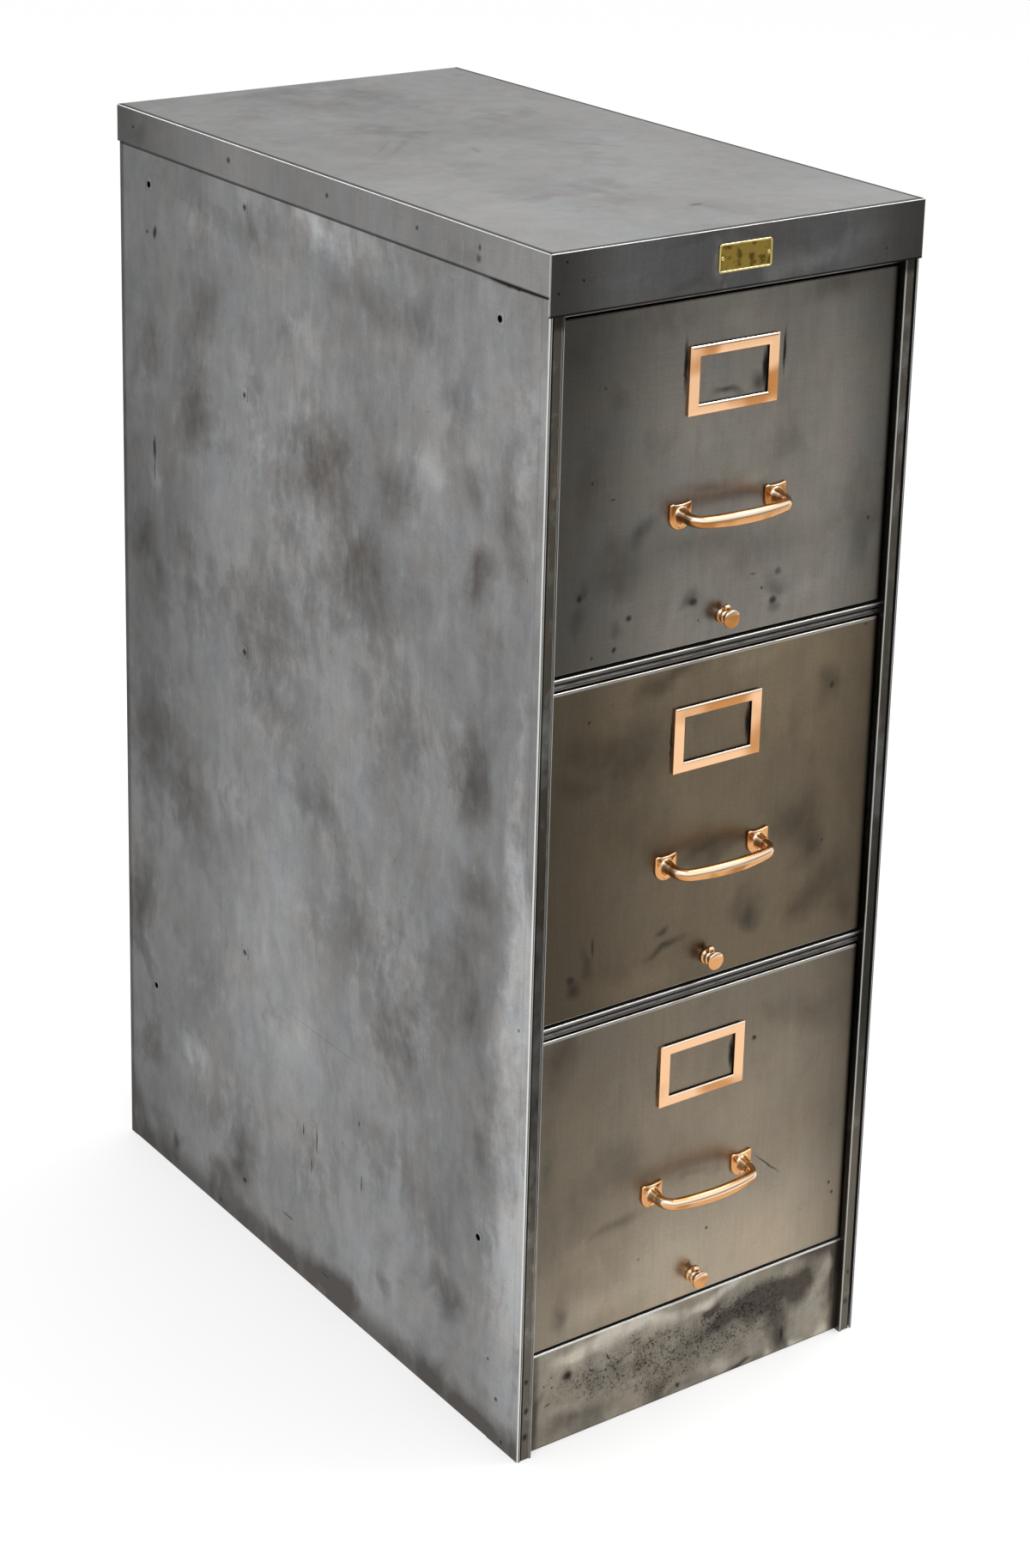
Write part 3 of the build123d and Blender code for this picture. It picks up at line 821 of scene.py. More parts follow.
@dataclass(frozen=True)
class SheetSteel:
    """Bare burnished sheet steel: clouds of stain, rubbed patches, fine grain, dark spots and worn folds, with
    painted highlights on its folds and painted light and shade from its shades, bands and some marks.

    Attributes:
        name: the material's name.
        face: the side that its marks are on.
        plain: middle tone.
        stain: tone of the stained clouds, also of painted shade where a stain band darkens a groove or a gap.
        rubbed: tone of the rubbed patches.
        spot: tone of spots and pits, also of painted shadow where a spot band darkens a gap.
        bright: tone of worn folds and of their painted highlights.
        clouds: how strong the random clouds are.
        warmth: how much the colour goes from cool to warm and back.
        fold_wear_and_highlight: how bright the folds are, as worn bare metal and as painted highlight.
        rust: a field of rust pits, as a mark, or None.
        roughness: middle roughness.
        seed: shift of the random patterns.
        marks: the oval marks.
        bands: the straight ones.
        shades: the painted light and shade, as slow changes of brightness.
    """

    name: str
    face: Face
    plain: Tone = (127, 127, 127)
    stain: Tone = (77, 72, 68)
    rubbed: Tone = (168, 168, 168)
    spot: Tone = (30, 27, 25)
    bright: Tone = (214, 214, 210)
    clouds: float = 0.3
    warmth: float = 0.16
    fold_wear_and_highlight: float = 0.8
    rust: Mark | None = None
    roughness: float = 0.34
    seed: float = 0.0
    marks: tuple[Mark, ...] = ()
    bands: tuple[Band, ...] = ()
    shades: tuple[Shade, ...] = ()

    def material(self) -> bpy.types.Material:
        """Build the material.

        Returns:
            A metal whose colour, roughness and relief come from the clouds, grain, marks and bright folds, with
            painted light and shade among its shades, marks and bands.
        """
        made = bpy.data.materials.new(self.name)
        made.use_nodes = True
        shop = NodeShop(made.node_tree)
        spot = Spot.start(shop)
        place = spot.place
        moved = shop.vector("ADD", {0: place, 1: (self.seed, self.seed * 0.7, self.seed * 0.3)})
        wide_place = shop.shifted(place, 9.0, 0.09)
        near_place = shop.shifted(place, 170.0, 0.0025)

        cloud = shop.noise(shop.stretched(moved, (1.0, 1.0, 0.55)), 6.5, 5.0, 0.58)
        mist = shop.noise(moved, 42.0, 5.0, 0.62)
        streak = shop.noise(shop.stretched(wide_place, (70.0, 70.0, 16.0)), 1.0, 4.0, 0.6)
        haze = (cloud * 3.2 + mist * 1.5 + streak * 1.3 - 3.0) * self.clouds
        grown = {Kind.STAIN: haze, Kind.RUBBED: haze * -1.0}
        # Random pits, and folds that are bright with bare metal and with a painted highlight.
        total = {Kind.SPOT: shop.ramp(shop.noise(moved, 210.0, 2.0), 0.74, 0.80, 0.0, 0.5),
                 Kind.BRIGHT: spot.folds(self.fold_wear_and_highlight) * shop.ramp(mist, 0.30, 0.55, 0.45, 1.0)}
        for mark in self.marks:
            if mark.kind in grown:
                grown[mark.kind] = grown[mark.kind] + spot.mark(wide_place, self.face, mark, 0.0)
            else:
                total[mark.kind] = total[mark.kind] + spot.mark(near_place, self.face, mark, 0.2)
        for kind, wire in grown.items():
            total[kind] = shop.node("ShaderNodeClamp", {}, {"Value": wire})
        for band in self.bands:
            total[band.kind] = total[band.kind] + spot.band(band)
        if self.rust is not None:
            for kind, wire in self.pitting(shop, spot, moved, wide_place).items():
                total[kind] = total[kind] + wire
        share = {kind: shop.node("ShaderNodeClamp", {}, {"Value": wire}) for kind, wire in total.items()}

        colour = shop.mix(share[Kind.RUBBED], self.plain, self.rubbed)
        colour = shop.mix(share[Kind.STAIN], colour, self.stain)
        upright = shop.noise(shop.stretched(moved, (420.0, 420.0, 22.0)), 1.0, 3.0, 0.5)
        level = shop.noise(shop.stretched(moved, (26.0, 26.0, 520.0)), 1.0, 3.0, 0.5)
        fine = shop.noise(moved, 640.0, 2.0, 0.6)
        grain = upright * 0.35 + level * 0.25 + fine * 0.8 - 0.7
        arcs = shop.noise(shop.stretched(shop.shifted(moved, 5.0, 0.25), (40.0, 34.0, 900.0), (0.7, 0.5, 0.4)),
                          1.0, 2.0, 0.5)
        hair = shop.ramp(arcs, 0.70, 0.78, 0.0, 0.12)
        tone = grain * 0.55 + mist * 0.22 + hair + 0.89
        # The shades paint light and shade into the tone.
        for shade in self.shades:
            tone = tone * spot.shade(shade)
        warm = (shop.noise(moved, 19.0, 4.0, 0.6) - 0.5) * self.warmth
        shadow = shop.node("ShaderNodeCombineColor", {},
                           {0: tone * (warm + 1.0), 1: tone, 2: tone * (1.0 - warm)})
        colour = shop.node("ShaderNodeMix", {"data_type": "RGBA", "blend_type": "MULTIPLY"},
                           {0: 1.0, 6: colour, 7: shadow}, 2)
        # Bright folds and bands are worn metal and painted highlights; some spot bands are painted shadows in
        # gaps.
        colour = shop.mix(share[Kind.BRIGHT], colour, self.bright)
        colour = shop.mix(share[Kind.SPOT], colour, self.spot)

        rough = share[Kind.STAIN] * 0.08 - share[Kind.RUBBED] * 0.04 + share[Kind.SPOT] * 0.25
        rough = rough + grain * 0.10 + mist * 0.12 + (self.roughness - 0.06)
        relief = grain * 0.35 + mist * 0.6
        normal = shop.node("ShaderNodeBump", {}, {"Strength": 0.3, "Distance": 0.0003, "Height": relief})
        shader = shop.node("ShaderNodeBsdfPrincipled", {}, {"Base Color": colour, "Roughness": rough,
                                                            "Metallic": 1.0, "Normal": normal})
        shop.node("ShaderNodeOutputMaterial", {}, {"Surface": shader})
        return made

    def pitting(self, shop: NodeShop, spot: Spot, moved: Wire, wide_place: Wire) -> dict[Kind, Wire]:
        """Rust pits: dots and short wandering lines inside a ragged field, over a thin stain.

        A line runs where a noise is within a hair of its middle, and only parts of it are kept.

        Args:
            shop: maker of the nodes.
            spot: where the material is.
            moved: shifted coordinates.
            wide_place: coordinates pushed about.

        Returns:
            The shares to add, by kind.
        """
        field_mask = spot.mark(wide_place, self.face, self.rust, 0.5)
        ragged = shop.ramp(shop.noise(moved, 34.0, 4.0, 0.7), 0.34, 0.52) * field_mask
        line = shop.noise(moved, 210.0, 3.0, 0.6) - 0.5
        kept = shop.ramp(shop.noise(moved, 120.0), 0.44, 0.54)
        worms = shop.ramp(shop.math("ABSOLUTE", line), 0.034, 0.012) * kept
        dots = shop.ramp(shop.noise(moved, 390.0, 2.0), 0.57, 0.66)
        pits = (worms + dots) * ragged
        return {Kind.SPOT: pits * 0.9, Kind.STAIN: ragged * 0.28}


@dataclass(frozen=True)
class BrightMetal:
    """Polished or drawn metal of the fittings, with tarnish in soft patches.

    Attributes:
        name: the material's name.
        plain: its tone.
        tarnish: tone of the duller patches.
        roughness: middle roughness.
        lumps: tarnish patches to the metre.
        detail: finer levels of the patches.
        share: how strong the tarnish is.
        relief: height of the hand-polished unevenness.
        grit: share of fine grain in the relief.
        crown: tone of a painted highlight on faces that lean up, and of a fainter painted glint on undersides,
            or None.
        crown_span: the normal's upward part where the painted highlight starts, is full, fades and is gone.
    """

    name: str
    plain: Tone
    tarnish: Tone
    roughness: float
    lumps: float = 60.0
    detail: float = 3.0
    share: float = 0.6
    relief: float = 0.0003
    grit: float = 0.01
    crown: Tone | None = None
    crown_span: tuple[float, float, float, float] = (0.10, 0.70, 2.0, 3.0)

    def material(self) -> bpy.types.Material:
        """Build the material.

        Returns:
            A metal whose colour, roughness and relief come from patches of tarnish and fine grain.
        """
        made = bpy.data.materials.new(self.name)
        made.use_nodes = True
        shop = NodeShop(made.node_tree)
        place = shop.node("ShaderNodeTexCoord", {}, {}, "Object")
        patch = shop.noise(place, self.lumps, self.detail, 0.5)
        fine = shop.noise(place, self.lumps * 14, 3.0, 0.6)
        dull = shop.ramp(patch, 0.48, 0.66, 0.0, self.share)
        colour = shop.mix(dull, self.plain, self.tarnish)
        # Painted highlight by the normal: a band on faces that lean up, and a glint on the undersides.
        if self.crown is not None:
            normal = shop.node("ShaderNodeTexCoord", {}, {}, "Normal")
            rise = shop.node("ShaderNodeSeparateXYZ", {}, {0: normal}, "Z")
            start, full, fading, gone = self.crown_span
            colour = shop.mix(shop.ramp(rise, start, full) * shop.ramp(rise, gone, fading), colour, self.crown)
            colour = shop.mix(shop.ramp(rise, -0.65, -0.95, 0.0, 0.6), colour, self.crown)
        rough = dull * 0.10 + fine * 0.08 + (self.roughness - 0.04)
        height = patch + fine * self.grit
        normal = shop.node("ShaderNodeBump", {}, {"Strength": 0.25, "Distance": self.relief, "Height": height})
        shader = shop.node("ShaderNodeBsdfPrincipled", {}, {"Base Color": colour, "Roughness": rough,
                                                            "Metallic": 1.0, "Normal": normal})
        shop.node("ShaderNodeOutputMaterial", {}, {"Surface": shader})
        return made


# Case


@dataclass
class Case:
    """The folded steel case: cap, sides, posts, cross pieces and back.

    Attributes:
        finishes: the steels by the name of what they are for.
        fold: radius of the side and back sheets' folds.
        foot: depth of the fold at their feet.
        front_turn: width of the side sheets' folds round the posts.
        rear_turn: width of their folds round the back.
        foot_start: from a side's front to where its foot's fold starts.
        foot_end: from the fold's end to the side's back.
        step: widest gap between lines on the large faces.
        cap_fold: radius of the cap's folds.
        apron: height of the cap's front side.
        skirt: height of its other sides.
        cap_sheet: its thickness.
        sheet: thickness of the sides, the back and the cross pieces.
        post_sheet: thickness of the posts.
        post_fold: radius of their folds.
        post_lip: width of the raised lip at the opening.
        post_drop: how far the rest of a post lies behind its lip.
        post_edge: from the middle to a post's outer edge.
        post_return: length of a post's flange along the side sheet.
        cross_fold: radius of the header's folds.
        rail_fold: radius of the rails' folds.
        rail_nose: height of a rail's front strip.
        rail_groove: how far its groove lies behind that.
        rail_slope: height of the groove's slopes.
        rail_lower: height of its lower strip.
        rail_setback: how far that lies behind the front strip.
        kick_fold: radius of the kick plate's folds.
        kick_foot: depth of its lower fold.
        hole: radius of the open holes in the sides.
        holes_up: heights of the holes.
        holes_in: distances of the holes from the side's front and back.
        weld: radius of a weld mark.
        weld_depth: its depth.
        welds_along: the weld marks' place in Y.
        welds_up: their heights.
        window: half the square that is kept free round a hole or a weld mark.
        cells: faces along one side of that square.
    """

    finishes: dict[str, bpy.types.Material]
    fold: float = 1.6 * MM
    foot: float = 15 * MM
    front_turn: float = 3 * MM
    rear_turn: float = 12 * MM
    foot_start: float = 38 * MM
    foot_end: float = 3 * MM
    step: float = 12 * MM
    cap_fold: float = 1.5 * MM
    apron: float = 50 * MM
    skirt: float = 34 * MM
    cap_sheet: float = 1.2 * MM
    sheet: float = 1.0 * MM
    post_sheet: float = 1.15 * MM
    post_fold: float = 0.9 * MM
    post_lip: float = 2.4 * MM
    post_drop: float = 1.0 * MM
    post_edge: float = 185 * MM
    post_return: float = 30 * MM
    cross_fold: float = 1.2 * MM
    rail_fold: float = 1.35 * MM
    rail_nose: float = 3.0 * MM
    rail_groove: float = 2.5 * MM
    rail_slope: float = 1.5 * MM
    rail_lower: float = 2.5 * MM
    rail_setback: float = 0.8 * MM
    kick_fold: float = 1.4 * MM
    kick_foot: float = 15 * MM
    hole: float = 3.1 * MM
    holes_up: tuple[float, ...] = (185 * MM, 991.5 * MM)
    holes_in: tuple[float, float] = (64.9 * MM, 54.1 * MM)
    weld: float = 3.2 * MM
    weld_depth: float = 0.35 * MM
    welds_along: float = 125.7 * MM
    welds_up: tuple[float, ...] = (49 * MM, 291 * MM, 592 * MM, 835 * MM, 1005 * MM)
    window: float = 6 * MM
    cells: int = 6

    def build(self) -> None:
        """Build every piece of the case."""
        self.cap()
        for side, name in ((-1, "left"), (1, "right")):
            self.side_panel(side, name)
            self.post(side, name)
        self.cross_pieces()
        self.back()

    def cap(self) -> None:
        """The lid: a pan whose front side hangs lower than the others."""
        low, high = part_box("top_cap")
        pan = Pan((low.x, low.y), (high.x, high.y), self.cap_fold, self.skirt, self.step,
                  Waviness(0.5 * MM, 0.2, 3))
        skin = pan.skin(self.apron - self.skirt).moved(lambda points: points * (1, 1, -1) + (0, 0, high.z))
        make_piece("cap_sheet", skin, self.finishes["cap"], CASE, ["top_cap"], self.cap_sheet,
                   (0, 0, 1))

    def side_panel(self, side: int, name: str) -> None:
        """One side sheet: pierced and weld-marked while flat, then folded at the front, back and foot.

        Args:
            side: -1 for the left or 1 for the right.
            name: left or right.
        """
        node = f"{name}_side_panel"
        low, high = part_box(node)
        outer = max(abs(low.x), abs(high.x))
        line = bent_line([(outer - self.front_turn, low.y), (outer, low.y), (outer, high.y),
                          (outer - self.rear_turn, high.y)], self.fold)
        along = np.concatenate([[0], np.cumsum(np.hypot(*np.diff(line, axis=0).T))])
        first = np.argmax(line[:, 0] > outer - SEW)
        flat_start = along[first] - line[first, 1]
        holes = [(y, z) for y in (low.y + self.holes_in[0], high.y - self.holes_in[1]) for z in self.holes_up]
        welds = [(self.welds_along, z) for z in self.welds_up]
        places = [(flat_start + y, z) for y, z in holes + welds]
        spread = np.linspace(-self.window, self.window, self.cells + 1)
        u = lines(0, along[-1], self.step, along, *[across + spread for across, _ in places])
        v = lines(self.fold, high.z, self.step, *[up + spread for _, up in places])
        mid_u, mid_v = (u[1:] + u[:-1]) / 2, (v[1:] + v[:-1]) / 2
        keep = np.ones((len(mid_u), len(mid_v)), bool)
        for across, up in places:
            keep &= ~((abs(mid_u - across) < self.window)[:, None] & (abs(mid_v - up) < self.window)[None])
        skin = Skin()
        grid_u, grid_v = np.meshgrid(u, v, indexing="ij")
        skin.grid(np.stack([grid_u, grid_v, 0 * grid_u], axis=-1), keep=keep)
        for number, (across, up) in enumerate(places):
            self.round_window(skin, across, up, open_hole=number < len(holes))
        waves = Waviness(0.6 * MM, 0.22, 11 + side)

        def bend(points: Array) -> Array:
            """Fold flat points round the section, and push the face in by its depth and waves.

            Args:
                points: distances along the section, heights and depths.

            Returns:
                The points in the frame's axes.
            """
            x, y = (np.interp(points[:, 0], along, values) for values in line.T)
            face = x > outer - SEW
            depth = points[:, 2].copy()
            depth[face] += waves.at(y[face], points[face, 1])
            return np.stack([side * (x - depth), y, points[:, 1]], axis=-1)

        skin = skin.moved(bend)
        x, y = (np.interp(u, along, values) for values in line.T)
        self.foot_strip(skin, x, y, side, low.y, high.y)
        make_piece(f"{name}_side_sheet", skin, self.finishes[f"{name}_side"], CASE, [node],
                   self.sheet, (side, 0, 0))

    def round_window(self, skin: Skin, across: float, up: float, open_hole: bool) -> None:
        """Fill a square window of a flat sheet with rings about a hole or a weld mark.

        The rings run from the square to a circle as square + (circle - square) * t. A weld mark goes on
        to its middle, with a depth of (1 + cos(pi * r)) / 2 of its full depth.

        Args:
            skin: the flat sheet.
            across: middle of the window across the sheet.
            up: middle of the window up the sheet.
            open_hole: whether the circle stays open.
        """
        side = np.linspace(-1, 1, self.cells + 1)[:-1]
        one = np.ones(self.cells)
        square = np.concatenate([np.column_stack([side, -one]), np.column_stack([one, side]),
                                 np.column_stack([-side, one]), np.column_stack([-one, -side])])
        circle = square / np.linalg.norm(square, axis=1, keepdims=True)
        radius = self.hole if open_hole else self.weld
        share = np.linspace(0, 1, 4)[:, None, None]
        rings = square * self.window + (circle * radius - square * self.window) * share
        depth = np.zeros((*rings.shape[:2], 1))
        if not open_hole:
            inner = np.linspace(1, 0, 5)[1:, None, None]
            rings = np.concatenate([rings, circle[None] * radius * inner])
            bowl = self.weld_depth * (1 + np.cos(pi * inner)) / 2
            depth = np.concatenate([depth, np.broadcast_to(bowl, (len(inner), len(circle), 1))])
        skin.grid(np.concatenate([rings + (across, up), depth], axis=-1), wrap=True)

    def foot_strip(self, skin: Skin, x: Array, y: Array, side: int, front: float, back: float) -> None:
        """Carry a side sheet down to the floor, and fold its foot inwards between the post and the back.

        Args:
            skin: the bent sheet.
            x: its section's distances from the middle.
            y: its section's places from front to back.
            side: -1 for the left or 1 for the right.
            front: its front end.
            back: its back end.
        """
        outer = x.max()
        inside = (x > outer - SEW) & (y > front + self.foot_start) & (y < back - self.foot_end)
        start, end = np.flatnonzero(inside)[[0, -1]]
        section = bent_line([(outer, self.fold), (outer, 0), (outer - self.foot, 0)], self.fold * 0.99, 5 * MM)
        skin.grid(drawn(section * (side, 1), y[start:end + 1], 1))
        edge = np.column_stack([side * x, y])
        for part in (edge[:start + 1], edge[end:]):
            skin.grid(drawn(part, np.array([self.fold, 0]), 2).swapaxes(0, 1))

    def post(self, side: int, name: str) -> None:
        """Channel post beside the drawers, with a raised lip at the opening, run up the whole case.

        Args:
            side: -1 for the left or 1 for the right.
            name: left or right.
        """
        node = f"{name}_front_post"
        low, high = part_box(node)
        opening, inner = sorted((abs(low.x), abs(high.x)))
        lip, face = opening + self.post_lip, low.y + self.post_drop
        line = bent_line([
            (self.post_edge, face), (lip, face), (lip, low.y), (opening, low.y), (opening, high.y),
            (inner, high.y), (inner, high.y - self.post_return),
        ], self.post_fold, 4 * MM)
        skin = Skin()
        skin.grid(drawn(line * (side, 1), lines(low.z, high.z, 40 * MM), 2))
        make_piece(f"{name}_post_channel", skin, self.finishes["post"], CASE, [node],
                   self.post_sheet, (-side, 0, 0))

    def cross_pieces(self) -> None:
        """The header, the two divider rails and the kick plate."""
        low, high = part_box("header_rail")
        self.cross("header_sheet", "header_rail", [(high.y, low.z), (low.y, low.z), (low.y, high.z),
                                                   (high.y, high.z)], self.cross_fold)
        for name in DRAWERS[:-1]:
            low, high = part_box(f"{name}_rail")
            under, groove = low.y + self.rail_setback, low.y + self.rail_groove
            lower, nose = low.z + self.rail_lower, high.z - self.rail_nose
            self.cross(f"{name}_rail_sheet", f"{name}_rail", [
                (high.y, low.z), (under, low.z), (under, lower), (groove, lower + self.rail_slope),
                (groove, nose - self.rail_slope), (low.y, nose), (low.y, high.z), (high.y, high.z),
            ], self.rail_fold)
        low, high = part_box("kick_plate")
        self.cross("kick_sheet", "kick_plate", [(low.y + self.kick_foot, low.z), (low.y, low.z), (low.y, high.z),
                                                (high.y, high.z)], self.kick_fold, "kick")

    def cross(self, name: str, node: str, corners: Sequence[tuple[float, float]], radius: float,
              finish: str = "rail") -> None:
        """One folded sheet drawn across the opening.

        Args:
            name: the piece's name.
            node: the node that it stands for.
            corners: its section's corners in Y and Z.
            radius: radius of its folds.
            finish: name of its steel.
        """
        low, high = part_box(node)
        skin = Skin()
        skin.grid(drawn(bent_line(corners, radius, 6 * MM), lines(low.x, high.x, 8 * MM), 0))
        make_piece(name, skin, self.finishes[finish], CASE, [node], self.sheet, (0, -1, 0))

    def back(self) -> None:
        """The back sheet with its foot fold, between the sides' rear folds."""
        low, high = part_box("back_panel")
        x = lines(low.x, high.x, self.step)
        across, up = np.meshgrid(x, lines(low.z + self.fold, high.z, self.step), indexing="ij")
        waves = Waviness(0.6 * MM, 0.2, 29)
        skin = Skin()
        skin.grid(np.stack([across, high.y - waves.at(across, up), up], axis=-1))
        section = bent_line([(high.y, low.z + self.fold), (high.y, low.z), (high.y - self.foot, low.z)],
                            self.fold * 0.99, 5 * MM)
        skin.grid(drawn(section, x, 0))
        make_piece("back_sheet", skin, self.finishes["back"], CASE, ["back_panel"], self.sheet,
                   (0, 1, 0))


# Fittings


@dataclass
class Nameplate:
    """Bare brass plate with a raised rolled border and two domed pins.

    Attributes:
        corner: radius of the plate's corners.
        border: width of the raised border.
        plate: thickness of the plate inside its border.
        dome: how much thicker its middle is.
        pin: radius of a pin's head.
        shank: radius of its shank.
        tail: how far that reaches behind the cap's face.
        inset: distance of a pin from the plate's end.
    """

    corner: float = 2.6 * MM
    border: float = 1.6 * MM
    plate: float = 0.8 * MM
    dome: float = 0.25 * MM
    pin: float = 1.9 * MM
    shank: float = 0.9 * MM
    tail: float = 4.0 * MM
    inset: float = 3.4 * MM

    def build(self, brass: bpy.types.Material, pin_brass: bpy.types.Material) -> None:
        """Build the plate, its border and its pins.

        Args:
            brass: metal of the plate.
            pin_brass: metal of the border and the pins.
        """
        low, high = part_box("nameplate")
        middle, half = (low + high) / 2, (high - low) / 2
        rise, width = high.y - low.y, self.border
        bands = [(0.0, 0.0), (0.0, rise * 0.7), (0.15 * width, rise * 0.93), (0.4 * width, rise),
                 (0.6 * width, rise), (0.85 * width, rise * 0.9), (width, self.plate), (width, 0.0), (0.0, 0.0)]
        border = Skin()
        border.grid(np.stack([self.ring(half, inward, height) for inward, height in bands]), wrap=True)
        inner = self.ring(half, 0.5 * width, 0.0)
        top = inner + (0, 0, self.plate)
        dome = [top * (share, share, 1) + (0, 0, self.dome * (1 - share) ** 0.5)
                for share in (1.0, 0.6, 0.3, 0.0)]
        plate = Skin()
        plate.grid(np.stack([inner * 0, inner, *dome]), wrap=True)
        place = facing_front(middle.x, high.y, middle.z)
        make_piece("nameplate_blank", plate.moved(place), brass, CASE, ["nameplate"])
        make_piece("nameplate_border", border.moved(place), pin_brass, CASE, [])
        self.pins(middle, half, high.y, pin_brass)

    def ring(self, half: Vector, inward: float, height: float) -> Array:
        """The plate's outline, moved inward, at a height."""
        radius = max(self.corner - inward, 0.3 * MM)
        return level(rounded_rectangle(half.x - inward, half.z - inward, radius, 8), height)

    def pins(self, middle: Vector, half: Vector, back: float, brass: bpy.types.Material) -> None:
        """The two domed pins, with their shanks behind the cap.

        Args:
            middle: the plate's middle.
            half: its half sizes.
            back: the face that it lies on.
            brass: metal of the pins.
        """
        head, low = self.pin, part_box("nameplate_pins")[0]
        front = back - low.y
        profile = [(0, -self.tail), (self.shank, -self.tail), (self.shank, self.plate), (head, self.plate),
                   (head * 0.8, front - 0.25 * MM), (head * 0.35, front), (0, front)]
        skin = Skin()
        for side in (-1, 1):
            place = facing_front(middle.x + side * (half.x - self.inset), back, middle.z)
            skin.add(turned(profile, 0.35 * MM, 24).moved(place))
        make_piece("nameplate_pin_heads", skin, brass, CASE, ["nameplate_pins"])


@dataclass(frozen=True)
class LabelHolder:
    """Mitred frame whose section is bevelled inside and out, over a card slot open at the top.

    Attributes:
        border_x: width of its upright sides.
        border_z: height of its top and bottom sides.
        depth: how far it stands out.
        slot: depth of the card slot behind it.
        inset: from its outline to the tabs behind it.
        margin: from its outline to the tabs' inner edges.
        outer_corner: radius of its outer corners.
        inner_corner: radius of its inner corners.
    """

    border_x: float = 10.5 * MM
    border_z: float = 9.0 * MM
    depth: float = 3.0 * MM
    slot: float = 1.4 * MM
    inset: float = 0.3 * MM
    margin: float = 4.5 * MM
    outer_corner: float = 0.8 * MM
    inner_corner: float = 0.4 * MM

    def skin(self, half_x: float, half_z: float) -> Skin:
        """The frame, as rings at shares of its border, and the three tabs that hold it off the drawer.

        Args:
            half_x: half its width.
            half_z: half its height.

        Returns:
            The skin, about the frame's middle.
        """
        slot, inset, margin = self.slot, self.inset, self.margin
        bands = [(0.0, slot), (0.0, 1.9 * MM), (0.01, 2.0 * MM), (0.085, 2.68 * MM), (0.11, 2.8 * MM),
                 (0.28, 2.95 * MM), (0.5, self.depth), (0.72, 2.95 * MM), (0.89, 2.8 * MM), (0.915, 2.68 * MM),
                 (0.99, 2.0 * MM), (1.0, 1.9 * MM), (1.0, slot), (0.0, slot)]
        skin = Skin()
        skin.grid(np.stack([
            level(rounded_rectangle(half_x - share * self.border_x, half_z - share * self.border_z,
                                    self.outer_corner if share < 0.5 else self.inner_corner, 5), height)
            for share, height in bands]), wrap=True)
        for x0, x1, z0, z1 in (
            (-half_x + inset, -half_x + margin, -half_z + inset, half_z - inset),
            (half_x - margin, half_x - inset, -half_z + inset, half_z - inset),
            (-half_x + margin, half_x - margin, -half_z + inset, -half_z + margin),
        ):
            skin.grid(block((x0, z0, 0), (x1, z1, slot)), wrap=True)
        return skin


